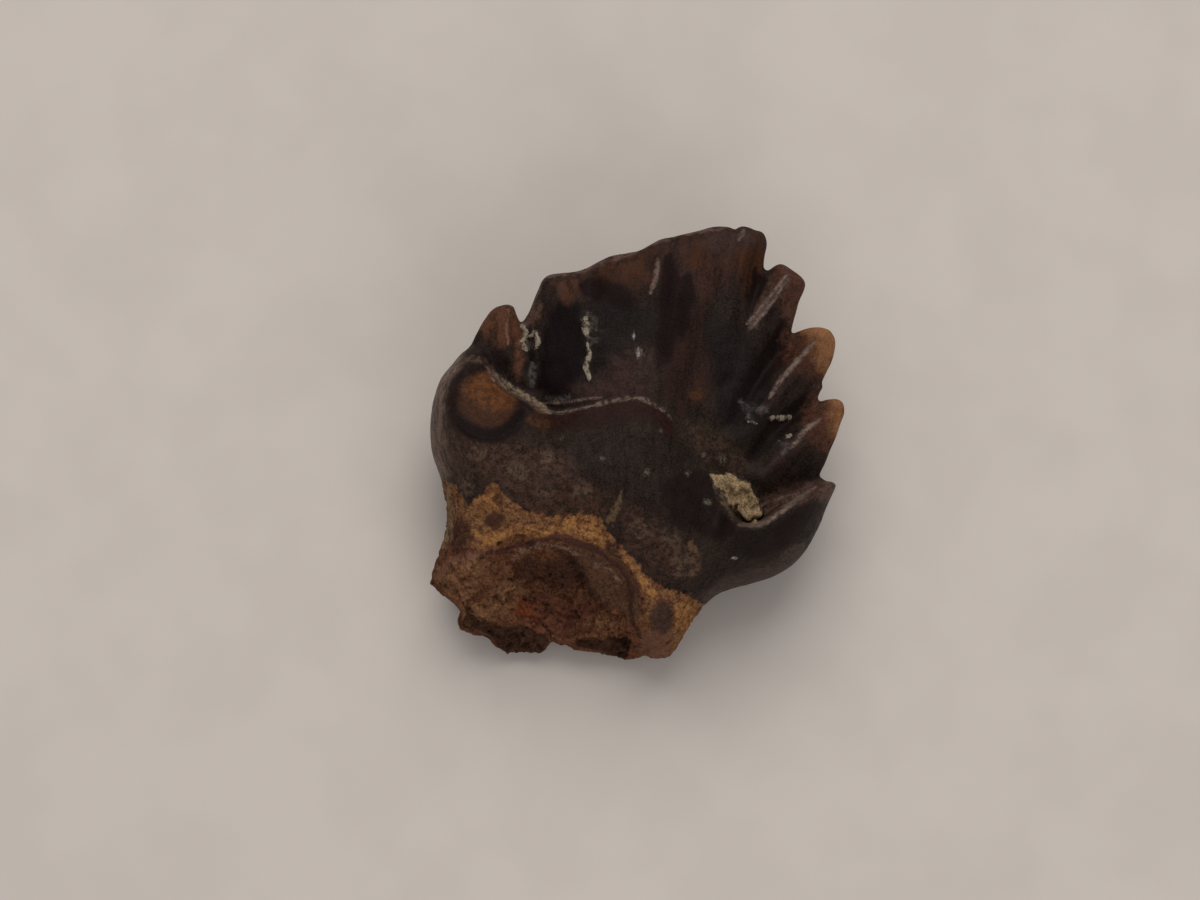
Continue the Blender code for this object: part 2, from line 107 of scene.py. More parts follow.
CINGULUM_LEFT = [
    (-5.28, -0.6), (-5.4, -0.18), (-5.58, 0.33), (-5.67, 0.81), (-5.69, 1.26), (-5.64, 1.86), (-5.52, 2.37),
    (-5.34, 2.79), (-5.07, 3.12), (-4.77, 3.48), (-4.5, 3.72), (-4.35, 4.02), (-4.2, 4.26), (-4.02, 4.56),
    (-3.84, 4.8),
]
OUTLINE = (
    LEFT_CUSP + BLADE_FLANK + BLADE_EDGE + DENTICLE_1 + DENTICLE_2 + DENTICLE_3 + CINGULUM_CUSP
    + CINGULUM_RIGHT + ROOT_RIGHT + BROKEN_BASE + ROOT_LEFT + CINGULUM_LEFT
)

# Half thickness at distance d from the outline: EDGE + swell * sqrt(d)
EDGE = 0.09
CROWN_SWELL = 0.62
BODY_SWELL = 2.2
BASE_SWELL = 1.3
BASE_LINE = [(1.6, -5.6), (-0.5, -5.6), (-3.6, -5.45), (-4.85, -4.7), (-5.7, -3.4)]
BASE_REACH = 0.7

# The tooth's long axis leans right of V by this much, which its body's bulge follows
AXIS_LEAN = math.radians(18)

# Body below the crown, in front: root thickness and the cingulum's bulge on it
ROOT_FRONT = 2.0
BULGE_FRONT = 0.55
BULGE_FRONT_AT = -0.4
BULGE_FRONT_REACH = 1.7

# Body behind: root thickness, the cingulum's bulge and the two lobes on it that touch the ground
ROOT_BACK = 1.45
BULGE_BACK = 0.75
BULGE_BACK_AT = 1.0
BULGE_BACK_REACH = 1.7
LOBES = [((-3.0, 1.9), 0.7), ((2.6, 0.7), 0.4)]
LOBE_REACH = 1.5

# Shelf: the rim of the cingulum across the face, with the crown set back behind it
SHELF = [
    (-5.7, 5.0), (-4.4, 3.85), (-3.78, 2.94), (-3.54, 2.52), (-3.03, 2.16), (-2.34, 1.74), (-1.65, 1.74),
    (-0.84, 1.92), (0.15, 2.13), (0.69, 2.1), (1.05, 1.92), (1.47, 1.62), (1.92, 0.96), (2.37, 0.36),
    (2.73, -0.03), (3.15, -0.75), (3.51, -1.53), (4.11, -1.59), (4.56, -1.23), (5.43, -0.81), (6.06, -0.36),
    (7.0, 0.3),
]
SHELF_STEP = 0.14
CUSP_STEP = 1.3
CUSP_SPAN = (-3.6, -4.4)
SOFT_STEP = 1.1
SOFT_SPAN = ((1.1, 1.9), (3.4, 2.8))

# In the middle of the face the body below the shelf hardly rises above the crown
MIDDLE_SPAN = ((-2.6, -0.8), (3.4, 2.2))
MIDDLE_REACH = 1.0
MIDDLE_RISE = 0.12
MIDDLE_SHARE = 0.85

# How softly the faces turn into the edge and the break
EDGE_BLEND = 0.5
BREAK_BLEND = 0.12
RIM_BLEND = 0.06

# Valleys in the crown above both ends of the shelf
VALLEY_DEPTH = 0.35
VALLEY_DEPTH_RIGHT = 0.2
VALLEY_REACH = 0.7
VALLEY_LEFT = (-0.6, -2.2)
VALLEY_RIGHT = (2.4, 3.6)
VALLEY_END = (-4.0, -3.2)
VALLEY_EDGE = (0.1, 0.8)

# Shelf across the back, and how strong the ridges and grooves are there
BACK_SHELF = [
    (-5.7, 4.6), (-4.2, 3.7), (-3.0, 2.9), (-1.2, 2.9), (0.6, 3.0), (1.9, 2.2), (3.0, 0.8), (4.2, -0.2),
    (5.3, -0.4), (6.1, -0.3), (7.0, 0.2),
]
BACK_STEP = 1.3
BACK_RELIEF = 0.8

# Grooves run in from the notches and ridges from the tips, each as its line, its height and its width
GROOVES = [
    ([(-2.97, 4.35), (-2.7, 3.3), (-2.4, 2.1)], 0.3, 0.4),
    ([(-0.87, 5.7), (-0.96, 3.9), (-0.96, 2.4)], 0.12, 0.4),
    ([(1.05, 6.75), (0.75, 4.8), (0.45, 2.4)], 0.04, 0.4),
    ([(3.45, 7.23), (2.76, 4.8), (2.1, 2.1)], 0.09, 0.4),
    ([(4.29, 6.0), (3.75, 4.2), (2.85, 2.1)], 0.34, 0.45),
    ([(5.1, 4.05), (4.05, 2.55), (3.15, 0.9)], 0.44, 0.52),
    ([(5.91, 2.04), (4.65, 1.2), (3.66, 0.0)], 0.42, 0.5),
    ([(5.97, -0.21), (5.1, -0.66), (4.11, -1.2)], 0.2, 0.4),
]
RIDGES = [
    ([(-3.24, 4.92), (-3.36, 4.2), (-3.33, 3.6), (-3.36, 3.06)], 0.22, 0.5),
    ([(-1.7, 5.8), (-1.92, 5.1), (-2.14, 4.2), (-2.1, 3.0)], 0.2, 0.55),
    ([(0.06, 6.42), (-0.06, 4.5), (-0.24, 2.4)], 0.04, 0.55),
    ([(1.2, 6.5), (1.04, 5.67), (0.8, 4.9)], 0.04, 0.3),
    ([(2.19, 7.08), (1.8, 4.8), (1.2, 2.4)], 0.07, 0.6),
    ([(3.84, 7.23), (3.45, 5.1), (2.55, 2.1)], 0.1, 0.45),
    ([(5.0, 5.82), (3.83, 4.23), (3.2, 2.7)], 0.3, 0.44),
    ([(5.82, 3.78), (4.47, 2.22), (3.3, 0.6)], 0.38, 0.48),
    ([(5.91, 1.59), (5.12, 0.69), (3.9, -0.45)], 0.36, 0.48),
]
INWARD_FADE = 0.55
INWARD_END = 0.15
RELIEF_START = (0.02, 0.35)

# Round wear dimple on the left end of the cingulum: centre, half sizes, depth and the shelf that cuts it off
DIMPLE_AT = (-3.93, 2.08)
DIMPLE_HALF = (1.16, 1.12)
DIMPLE_DEPTH = 0.55
DIMPLE_CUT = (-0.12, 0.1)

# The root is broken off along a slope that faces down and out, except at its right wall
BREAK_AT = -2.55
BREAK_AT_LEFT = -0.7
BREAK_LEFT = (-3.0, -4.8)
BREAK_HEIGHT = 1.6
BREAK_SLOPE = 0.75
BREAK_WALL = (-2.4, 0.8)
BREAK_WALL_HEIGHT = 3.0

# Hollow in the break: its rim, its bowl, and the edge of the smooth wall from which its floor steps down
HOLLOW_AT = (-1.95, -4.26)
HOLLOW_HALF = (2.75, 2.22)
HOLLOW_RIM = 2.0
HOLLOW_DEPTH = 2.2
WALL_FOOT = [
    (-4.2, -3.3), (-3.3, -2.8), (-2.6, -2.52), (-1.9, -2.46), (-1.47, -2.6), (-1.14, -3.12),
    (-0.86, -3.66), (-0.66, -3.92), (-0.42, -4.04), (0.08, -4.29), (0.4, -4.65), (0.8, -5.3),
]
WALL_FOOT_SPAN = (-3.6, -2.2)
FLOOR_DEPTH = 0.34
FLOOR_STEP = (0, 0.1)
FLOOR_SLOPE = (0.5, 2.0)
FLOOR_RISE = 0.8

# Lip below the hollow: its line and height, its rise to the left, and how fast the break falls on both sides
LIP = [
    (-5.2, -3.3), (-4.4, -4.2), (-3.7, -4.58), (-3.0, -4.58), (-2.45, -4.81), (-1.75, -5.07),
    (-0.95, -5.04), (0.2, -4.95), (1.0, -5.2),
]
LIP_HEIGHT = -0.05
LIP_RISE = 1.0
LIP_RISE_SPAN = (-3.2, -5.2)
LIP_END = (0.1, 0.9)
LIP_FALL = 0.8
LIP_FALL_INWARD = 3.0

# Lumps that age and wear left, as size and height
BODY_LUMPS = (1.3, 0.05)
BREAK_LUMPS = (0.55, 0.16)

# Least thickness anywhere inside the outline, and how far in from it that holds
LEAST_WALL = 0.42
LEAST_WALL_FROM = 0.3

# The broken base lies toward the back, except at its right corner
BASE_SET_BACK = 0.8
BASE_HALF = 0.42
BASE_RISE = (-3.6, -5.2)
BASE_LEFT = (-5.4, -3.6)
BASE_RIGHT = (1.1, 0.3)

# Camera and stage
SENSOR = 36.0
VIEW_WIDTH = 36.0
CAMERA_DISTANCE = 150.0
CAMERA_AT = (-0.6, 0.6)
CAMERA_CLIP = 0.005
FLOOR_SIZE = 1.6
FLOOR_Z = -0.00002
FLOOR_DARK = (202, 194, 185)
FLOOR_LIGHT = (206, 198, 189)
FLOOR_MOTTLE = 0.004
FLOOR_ROUGHNESS = 0.85
WORLD_COLOUR = (0.97, 0.95, 1.0, 1.0)
WORLD_STRENGTH = 0.36
KEY_LAMP = dict(place=(-0.01, 0.2, 0.26), size=0.32, energy=0.68, colour=(1.0, 0.97, 0.93))
FILL_LAMP = dict(place=(0.1, -0.26, 0.14), size=0.25, energy=0.25, colour=(1.0, 0.97, 0.95))

# Enamel under all layers of colour
ENAMEL_DARK = (16, 11, 9)
ENAMEL_LIGHT = (51, 40, 34)
ENAMEL_FLECK = (86, 70, 60)
ENAMEL_ROUGHNESS = (0.42, 0.56)
ENAMEL_SHINE = 0.045
FLECK_SIZE = 0.035
FLECK_SPAN = (0.55, 0.75)
FLECK_COVER = 0.35

# Noises in the material: their sizes in millimetres, and between which values they rise from 0 to 1
NOISE_SIZES = {"broad": 0.55, "grain": 0.18, "fine": 0.06}
NOISE_SPAN = (0.36, 0.64)
PATCHY_SIZE = 0.3
PATCHY_SPAN = (0.3, 0.7)
STREAK_SIZE = 0.22
FINE_SHARE = 0.6

# Bump in the material: heights in millimetres on bare bone, and the share of them on enamel
FINE_BUMP = 0.01
GRAIN_BUMP = 0.012
ENAMEL_BUMP = 0.22

# Fine relief of the enamel: ripples that fan up the crown, as size across, size along and height
FAN_AT = (0.4, -7.0)
RIPPLES = [(0.45, 3.2, 0.02), (0.16, 1.5, 0.009)]

# Raised pale lines: the line, its half width, its height and how pale it is
LIP_CREST = [(-3.95, 3.05), (-3.48, 2.58), (-3.18, 2.37), (-2.71, 2.1), (-2.33, 1.8), (-1.98, 1.73)]
CINGULUM_RIM = [(3.48, -1.6), (4.08, -1.62), (4.64, -1.3), (4.96, -1.07), (5.4, -0.78), (5.85, -0.5)]
PALE_LINES = [
    (LIP_CREST, 0.12, 0.08, 0.8),
    ([(-2.25, 2.0), (-1.87, 2.0), (-1.41, 2.04), (-1.07, 2.11), (-0.54, 2.16)], 0.055, 0.03, 0.7),
    ([(1.14, 6.33), (1.04, 5.67), (0.89, 5.26)], 0.085, 0.03, 0.75),
    ([(3.72, 7.2), (3.53, 6.86)], 0.08, 0.03, 0.75),
    ([(5.0, 5.86), (4.4, 5.1), (3.76, 4.34)], 0.06, 0.04, 0.9),
    ([(4.94, 5.6), (4.47, 4.91), (3.9, 4.2)], 0.06, 0.04, 0.9),
    ([(5.82, 3.82), (5.37, 3.37), (4.77, 2.67), (4.43, 2.13)], 0.085, 0.04, 1.0),
    ([(5.97, 1.53), (5.61, 1.29), (5.37, 0.99), (5.07, 0.63)], 0.085, 0.04, 1.0),
    ([(4.11, -1.11), (4.82, -0.84), (5.4, -0.68)], 0.07, 0.03, 0.6),
    (CINGULUM_RIM, 0.085, 0.05, 1.0),
]

# Row of small beads along the shelf: where it starts and ends, the beads' size and the thread between them
BEAD_START = (-2.1, -1.8)
BEAD_END = (1.7, 1.2)
BEAD_SIZE = 0.13
BEAD_THREAD = 0.35
BEAD_REACH = 0.065
BEAD_HEIGHT = 0.035

# Sediment cemented on: crusts in the grooves as line, half width and height, and the crumb on the shelf
CRUSTS = [
    ([(-1.0, 4.58), (-1.02, 4.25), (-0.98, 3.9)], 0.13, 0.1),
    ([(-0.99, 3.74), (-0.96, 3.4), (-0.98, 3.05), (-0.95, 2.66)], 0.085, 0.08),
    ([(-2.92, 4.38), (-2.84, 4.1), (-2.9, 3.8), (-2.78, 3.62)], 0.1, 0.08),
    ([(-2.86, 4.06), (-2.66, 4.02), (-2.5, 4.1), (-2.44, 3.86), (-2.56, 3.62)], 0.07, 0.07),
    ([(3.72, 1.47), (3.9, 1.46), (4.1, 1.39)], 0.06, 0.05),
    ([(4.4, 1.52), (4.62, 1.6), (4.86, 1.52), (5.07, 1.62)], 0.075, 0.07),
    ([(5.02, 1.1), (5.1, 1.02)], 0.06, 0.04),
]
CRUMB = [
    (2.68, -0.06), (3.1, -0.14), (3.48, -0.2), (3.82, -0.42), (3.94, -0.66), (4.1, -0.92), (4.22, -1.28),
    (4.04, -1.6), (3.78, -1.52), (3.52, -1.24), (3.26, -1.04), (3.1, -0.62), (2.82, -0.42),
]
CRUMB_HEIGHT = 0.2
CRUMB_EDGE = 0.1
CRUST_GRAINS = (0.16, 0.4)
CRUST_LEVEL = 0.7
CRUST_ROUGH = 0.3
KNOB_SIZE = 0.34
KNOB_LOW = 0.55
KNOB_RISE = 0.9

# Where the enamel ends on the root, and where the bright band of bone below it ends
ENAMEL_END = [
    (-6.2, -0.3), (-5.14, -0.39), (-4.86, -0.45), (-4.56, -1.02), (-4.11, -0.74), (-3.82, -0.39),
    (-3.6, -0.56), (-3.24, -0.9), (-2.79, -1.25), (-1.98, -1.37), (-0.84, -1.37), (-0.49, -1.71),
    (-0.03, -2.22), (0.6, -2.91), (1.11, -3.36), (1.8, -3.66), (2.43, -3.95), (3.5, -4.6),
]
BAND_END = [
    (-5.7, -2.4), (-5.14, -2.1), (-4.56, -2.22), (-4.11, -2.4), (-3.71, -2.42), (-2.79, -2.18),
    (-2.28, -1.97), (-1.65, -2.0), (-1.07, -2.17), (-0.49, -2.42), (-0.27, -2.57), (0.08, -2.91),
    (0.32, -3.37), (0.45, -4.0), (0.8, -5.6),
]

# Rim of the hollow: a thin raised ring and a paler one inside it
RIM_RING = [
    (-4.05, -2.54), (-3.42, -2.37), (-2.79, -2.21), (-2.33, -2.04), (-1.81, -1.98), (-1.12, -2.2),
    (-0.66, -2.4), (-0.27, -2.63), (0.08, -2.91), (0.32, -3.37), (0.4, -3.85),
]
INNER_RING = [(-3.25, -2.69), (-2.79, -2.34), (-2.28, -2.25), (-1.75, -2.31), (-1.2, -2.5)]
RING_WIDTH = 0.07
RING_HEIGHT = 0.07
INNER_RING_WIDTH = 0.05
INNER_RING_HEIGHT = 0.03

# Broken bone: its coarse and fine grain, as size and height, its wide and fine cracks, as size and width, and
# how rough the bare bone around the break is beside it. Then how much smoother the wall of the hollow is, and
# how much fainter its cracks are.
BONE_GRAIN = [(0.3, 0.34), (0.12, 0.2)]
CRACKS = [(0.62, 0.03), (0.27, 0.04)]
FINE_CRACKS = 0.7
CRACK_PATCHES = 0.41
CREVICE_DEPTH = 0.1
BARE_BONE_ROUGH = 0.35
WALL_SMOOTH = 0.8
WALL_FAINT = 0.7

# Pores in the broken root: how many, the smallest and largest reach, how deep they go for their reach, and
# how thickly they lie on the bare bone around the break
PORES = 460
PORE_REACH = (0.03, 0.11)
PORE_DEPTH = 1.1
PORE_SHARE = 0.12

# How the edges of ragged marks wander, as size and shift, with a larger size up the tooth than across it.
# Then how the crown's streaks stretch, and how thin a stroke is at its ends.
RAGGED = [(0.45, 0.1), (0.16, 0.05)]
RAGGED_UP = 1.13
FAN_STRETCH = 0.1
FAN_SCALE = 10
STROKE_END = 0.35

# Where marks start and are whole: by the surface's turn to the front, by depth, by distance or by grain
FACE_SPAN = (-0.35, 0.05)
BREAK_SPAN = (0.0, 0.1)
CROWN_SPAN = (0.1, -0.2)
GROOVE_SPAN = (0.03, 0.22)
GROOVE_FADE = (-0.5, 0.8)
CREST_SPAN = (0.1, 0.26)
DIMPLE_SPAN = (-0.1, 0.1)
DIMPLE_FLOOR = (0.15, 0.8)
DIMPLE_RING = 0.88
DIMPLE_RING_WIDTH = 0.24
ROOT_SPAN = (-0.16, 0.18)
BAND_SPAN = (0.12, -0.12)
WALL_SPAN = (0.05, -0.03)
WALL_LEFT = (-1.9, -1.3)
WALL_RIGHT = (0.75, 0.45)
BASE_SPAN = (0.02, 0.16)
BASE_END = (0.6, 0.4)
BEAD_GRAIN = (0.42, 0.54)
CRACK_GRAIN = (0.44, 0.6)
KNOB_GRAIN = (0.35, 0.65)


def ramp(x, start, end):
    """0 before start and 1 past end, smooth between them."""
    t = np.clip((x - start) / (end - start), 0, 1)
    return t * t * (3 - 2 * t)


def bump(x, reach):
    """1 at zero, dying away over reach on both sides."""
    return np.exp(-((x / reach) ** 2))


def roof(x, reach, rounding=0.12):
    """1 at zero and straight down to nothing at reach, with its crest and its foot a little rounded."""
    slope = 1 - (np.sqrt(x * x + (rounding * reach) ** 2) - rounding * reach) / reach
    return (slope + np.sqrt(slope * slope + 0.02)) / (1 + math.sqrt(1.02))


def lesser(a, b, blend):
    """The lesser of two heights, rounded where they cross."""
    h = np.clip(0.5 + 0.5 * (b - a) / blend, 0, 1)
    return b + (a - b) * h - blend * h * (1 - h)


def smooth_line(points, steps=5):
    """A smooth line through the points, as more points."""
    points = np.array(points)
    padded = np.concatenate([2 * points[:1] - points[1:2], points, 2 * points[-1:] - points[-2:-1]])
    line = []
    for before, start, end, after in zip(padded, padded[1:], padded[2:], padded[3:]):
        for t in np.arange(steps) / steps:
            bend = (2 * before - 5 * start + 4 * end - after) * t**2
            twist = (3 * start - before - 3 * end + after) * t**3
            line.append((2 * start + (end - before) * t + bend + twist) / 2)
    return np.array(line + [points[-1]])


def nearest_on(u, v, line):
    """Distance of every spot from a line of straight pieces, and how far along it is, from 0 to 1."""
    lengths = np.linalg.norm(np.diff(line, axis=0), axis=1)
    starts = np.concatenate([[0], np.cumsum(lengths)])
    nearest = np.full(len(u), np.inf)
    share = np.zeros(len(u))
    for start, end, length, before in zip(line[:-1], line[1:], lengths, starts[:-1]):
        way = (end - start) / length
        t = np.clip((u - start[0]) * way[0] + (v - start[1]) * way[1], 0, length)
        distance = np.hypot(u - start[0] - t * way[0], v - start[1] - t * way[1])
        closer = distance < nearest
        nearest[closer] = distance[closer]
        share[closer] = (before + t[closer]) / starts[-1]
    return nearest, share


def along_line(u, v, points):
    """Distance of every spot from a smooth line through points, and how far along it is, from 0 to 1."""
    return nearest_on(u, v, smooth_line(points))


def below_line(u, v, points):
    """Signed distance below a line that runs left to right."""
    line = smooth_line(points)
    side = np.where(v < np.interp(u, line[:, 0], line[:, 1]), 1, -1)
    return side * along_line(u, v, points)[0]


def lumps(u, v, size, height):
    """Soft uneven lumps of one size."""
    return height * np.array([noise.noise((x / size, y / size, size)) for x, y in zip(u, v)])


def oval(u, v, centre, half):
    """Square of the distance from an oval's centre, 1 on its rim."""
    return ((u - centre[0]) / half[0]) ** 2 + ((v - centre[1]) / half[1]) ** 2


def outline_distance(u, v, rim):
    """Distance of every spot from the closed outline."""
    tree = KDTree(len(rim))
    for number, (x, y) in enumerate(rim):
        tree.insert((x, y, 0), number)
    tree.balance()
    nearest = np.array([tree.find((x, y, 0))[1] for x, y in zip(u, v)])
    distance = np.full(len(u), np.inf)
    for step in (-1, 0):
        start = rim[(nearest + step) % len(rim)]
        way = rim[(nearest + step + 1) % len(rim)] - start
        length = np.maximum(np.linalg.norm(way, axis=1), 1e-9)
        t = np.clip(((u - start[:, 0]) * way[:, 0] + (v - start[:, 1]) * way[:, 1]) / length**2, 0, 1)
        here = np.hypot(u - start[:, 0] - t * way[:, 0], v - start[:, 1] - t * way[:, 1])
        distance = np.minimum(distance, here)
    return distance


def crown_relief(u, v, inside):
    """Ridges and grooves of the crown, strongest at its edge."""
    relief = np.zeros(len(u))
    for sign, lines in ((1, RIDGES), (-1, GROOVES)):
        for line, height, width in lines:
            distance, share = along_line(u, v, line)
            profile = sign * height * roof(distance, width)
            relief += profile * (1 - INWARD_FADE * share) * ramp(1 - share, 0, INWARD_END)
    return relief * ramp(inside, *RELIEF_START)


def set_back(u, v):
    """How far the middle of the thickness lies back, which it does along the broken base."""
    return BASE_SET_BACK * ramp(v, *BASE_RISE) * ramp(u, *BASE_LEFT) * ramp(u, *BASE_RIGHT)


def front(u, v, inside):
    """Height of the front face, and how far the break lies below the unbroken face."""
    base = bump(along_line(u, v, BASE_LINE)[0], BASE_REACH)
    swell = BODY_SWELL + (BASE_SWELL - BODY_SWELL) * base
    crown = EDGE + CROWN_SWELL * np.sqrt(inside) + crown_relief(u, v, inside)
    along = u * math.sin(AXIS_LEAN) + v * math.cos(AXIS_LEAN)
    body = ROOT_FRONT + BULGE_FRONT * bump(along - BULGE_FRONT_AT, BULGE_FRONT_REACH)

    shelf = below_line(u, v, SHELF)
    middle = ramp(u, *MIDDLE_SPAN[0]) * ramp(u, *MIDDLE_SPAN[1]) * bump(shelf, MIDDLE_REACH)
    body = body + (crown + MIDDLE_RISE - body) * MIDDLE_SHARE * middle
    body = lesser(body, EDGE + swell * np.sqrt(inside), EDGE_BLEND)

    ends = np.maximum(ramp(u, *VALLEY_LEFT), ramp(u, *VALLEY_RIGHT)) * ramp(u, *VALLEY_END)
    valley = VALLEY_DEPTH + (VALLEY_DEPTH_RIGHT - VALLEY_DEPTH) * ramp(u, *VALLEY_RIGHT)
    crown = crown - valley * ends * bump(shelf, VALLEY_REACH) * ramp(inside, *VALLEY_EDGE)
    step = SHELF_STEP + (CUSP_STEP - SHELF_STEP) * ramp(u, *CUSP_SPAN)
    step = step + (SOFT_STEP - SHELF_STEP) * ramp(u, *SOFT_SPAN[0]) * ramp(u, *SOFT_SPAN[1])
    height = crown + (body - crown) * ramp(shelf, -0.3 * step, 0.7 * step)

    dimple = np.clip(1 - oval(u, v, DIMPLE_AT, DIMPLE_HALF), 0, 1) * ramp(shelf, *DIMPLE_CUT)
    height = height - DIMPLE_DEPTH * dimple
    height = height - set_back(u, v) + lumps(u, v, *BODY_LUMPS)
    broken = lesser(broken_root(u, v), broken_edge(u, v), BREAK_BLEND)
    return lesser(height, broken, RIM_BLEND), height - broken


def broken_root(u, v):
    """Height of the sloping break across the root, with the hollow in it."""
    start = BREAK_AT + BREAK_AT_LEFT * ramp(u, *BREAK_LEFT)
    slope = BREAK_HEIGHT + BREAK_SLOPE * (v - start) + BREAK_WALL_HEIGHT * ramp(u, *BREAK_WALL)
    slope = slope + lumps(u, v, *BREAK_LUMPS)
    bowl = HOLLOW_RIM - HOLLOW_DEPTH * (1 - oval(u, v, HOLLOW_AT, HOLLOW_HALF))
    floor = below_line(u, v, WALL_FOOT)
    drop = ramp(floor, *FLOOR_STEP) * (1 - FLOOR_RISE * ramp(floor, *FLOOR_SLOPE)) * ramp(u, *WALL_FOOT_SPAN)
    bowl = bowl - drop * (FLOOR_DEPTH + lumps(u, v, *BREAK_LUMPS))
    return lesser(slope, bowl, BREAK_BLEND)


def broken_edge(u, v):
    """Height of the break that falls from the lip below the hollow to the outline."""
    lip = LIP_HEIGHT + LIP_RISE * ramp(u, *LIP_RISE_SPAN) + BREAK_WALL_HEIGHT * ramp(u, *LIP_END)
    below = below_line(u, v, LIP)
    return lip - LIP_FALL * np.maximum(below, 0) - LIP_FALL_INWARD * np.minimum(below, 0)


def back(u, v, inside):
    """Height of the back face."""
    base = bump(along_line(u, v, BASE_LINE)[0], BASE_REACH)
    swell = BODY_SWELL + (BASE_SWELL - BODY_SWELL) * base
    crown = EDGE + CROWN_SWELL * np.sqrt(inside) + BACK_RELIEF * crown_relief(u, v, inside)
    along = u * math.sin(AXIS_LEAN) + v * math.cos(AXIS_LEAN)
    body = ROOT_BACK + BULGE_BACK * bump(along - BULGE_BACK_AT, BULGE_BACK_REACH)
    for (lobe_u, lobe_v), height in LOBES:
        body = body + height * bump(np.hypot(u - lobe_u, v - lobe_v), LOBE_REACH)
    body = body + (BASE_HALF - body) * set_back(u, v) / BASE_SET_BACK
    body = lesser(body, EDGE + swell * np.sqrt(inside), EDGE_BLEND)
    shelf = below_line(u, v, BACK_SHELF)
    depth = crown + (body - crown) * ramp(shelf, -0.5 * BACK_STEP, 0.5 * BACK_STEP)
    return -depth - set_back(u, v)


def patch(points, blur=0.12):
    """A mark that fills a closed outline, soft across its edge."""
    loop = points + points[:1]

    def strength(spots):
        inside = np.zeros(len(spots.u), bool)
        for (u0, v0), (u1, v1) in zip(loop[:-1], loop[1:]):
            if v0 != v1:
                crossing = u0 + (spots.v - v0) / (v1 - v0) * (u1 - u0)
                inside ^= ((v0 > spots.v) != (v1 > spots.v)) & (spots.u < crossing)
        distance = nearest_on(spots.u, spots.v, np.array(loop))[0]
        return ramp(np.where(inside, distance, -distance), -blur, blur) * spots.face

    return strength


def stroke(points, reach):
    """A mark along a smooth line, thin at its ends."""

    def strength(spots):
        distance, share = along_line(spots.u, spots.v, points)
        taper = np.sqrt(np.clip(4 * share * (1 - share), 0, 1))
        return bump(distance, reach * (STROKE_END + (1 - STROKE_END) * taper)) * spots.face

    return strength


def ovals(*places):
    """Oval marks, strongest at their centres, each as u and v of its centre and its two half sizes."""

    def strength(spots):
        fields = [1 - oval(spots.u, spots.v, place[:2], place[2:]) for place in places]
        return np.clip(np.max(fields, axis=0), 0, 1) * spots.face

    return strength


def outline_curve():
    """The outline as a flat closed curve, smooth except at its corners."""
    curve = bpy.data.curves.new("outline", "CURVE")
    curve.dimensions = "2D"
    curve.resolution_u = CURVE_STEPS
    spline = curve.splines.new("BEZIER")
    spline.bezier_points.add(len(OUTLINE) - 1)
    spline.use_cyclic_u = True
    for point, (u, v, *sharp) in zip(spline.bezier_points, OUTLINE):
        point.co = (u, v, 0)
        point.handle_left_type = "VECTOR" if sharp else "AUTO"
        point.handle_right_type = "VECTOR" if sharp else "AUTO"
    shape = bpy.data.objects.new("outline", curve)
    bpy.context.scene.collection.objects.link(shape)
    return shape


def evaluated_mesh(shape):
    """A mesh of an object as its modifiers leave it."""
    depsgraph = bpy.context.evaluated_depsgraph_get()
    return bpy.data.meshes.new_from_object(shape.evaluated_get(depsgraph), depsgraph=depsgraph)


def with_modifier(shape, kind, **settings):
    """The object's mesh after one modifier."""
    modifier = shape.modifiers.new(kind.lower(), kind)
    for name, value in settings.items():
        setattr(modifier, name, value)
    mesh = evaluated_mesh(shape)
    shape.modifiers.clear()
    shape.data = mesh


def corners(mesh):
    """The mesh's vertex positions as three columns."""
    flat = np.empty(len(mesh.vertices) * 3)
    mesh.vertices.foreach_get("co", flat)
    return flat.reshape(-1, 3)


def directions(mesh):
    """The mesh's vertex normals as three columns."""
    flat = np.empty(len(mesh.vertices) * 3, np.float32)
    mesh.vertex_normals.foreach_get("vector", flat)
    return flat.reshape(-1, 3).astype(float)


def move_corners(mesh, places):
    """Give the mesh new vertex positions."""
    mesh.vertices.foreach_set("co", places.ravel())
    mesh.update()


def plate_and_rim():
    """A flat plate of the outline's shape, and the outline as points."""
    shape = outline_curve()
    rim = corners(evaluated_mesh(shape))[:, :2]
    shape.data.fill_mode = "BOTH"
    shape.data.extrude = PLATE_HALF
    plate = bpy.data.objects.new("tooth_surface", evaluated_mesh(shape))
    bpy.data.objects.remove(shape)
    return plate, rim


def shape_faces(tooth, rim):
    """Give the plate its front and back faces."""
    places = corners(tooth.data)
    u, v, w = places.T
    inside = outline_distance(u, v, rim)
    high = front(u, v, inside)[0]
    low = back(u, v, inside)
    high = np.maximum(high, low + LEAST_WALL * ramp(inside, 0, LEAST_WALL_FROM))
    share = np.clip(w / PLATE_HALF, -1, 1)
    places[:, 2] = (high + low) / 2 + share * (high - low) / 2
    move_corners(tooth.data, places)


def lay_down(tooth):
    """Lean the tooth onto its back where its solid lies, in metres, with its contacts worn flat.

    Returns how far the lean tooth moved, in millimetres.
    """
    tooth.data.transform(Matrix.Rotation(LEAN, 4, "X"))
    places = corners(tooth.data)
    low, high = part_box("tooth")
    move = -(places.min(axis=0) + places.max(axis=0)) / 2
    move[0] += (low.x + high.x) / 2 / MILLIMETRE
    move[1] += (low.y + high.y) / 2 / MILLIMETRE
    move[2] = -places[:, 2].min() - WORN_FLAT
    places += move
    places[:, 2] = np.maximum(places[:, 2], 0)
    move_corners(tooth.data, places * MILLIMETRE)
    return Vector(move)


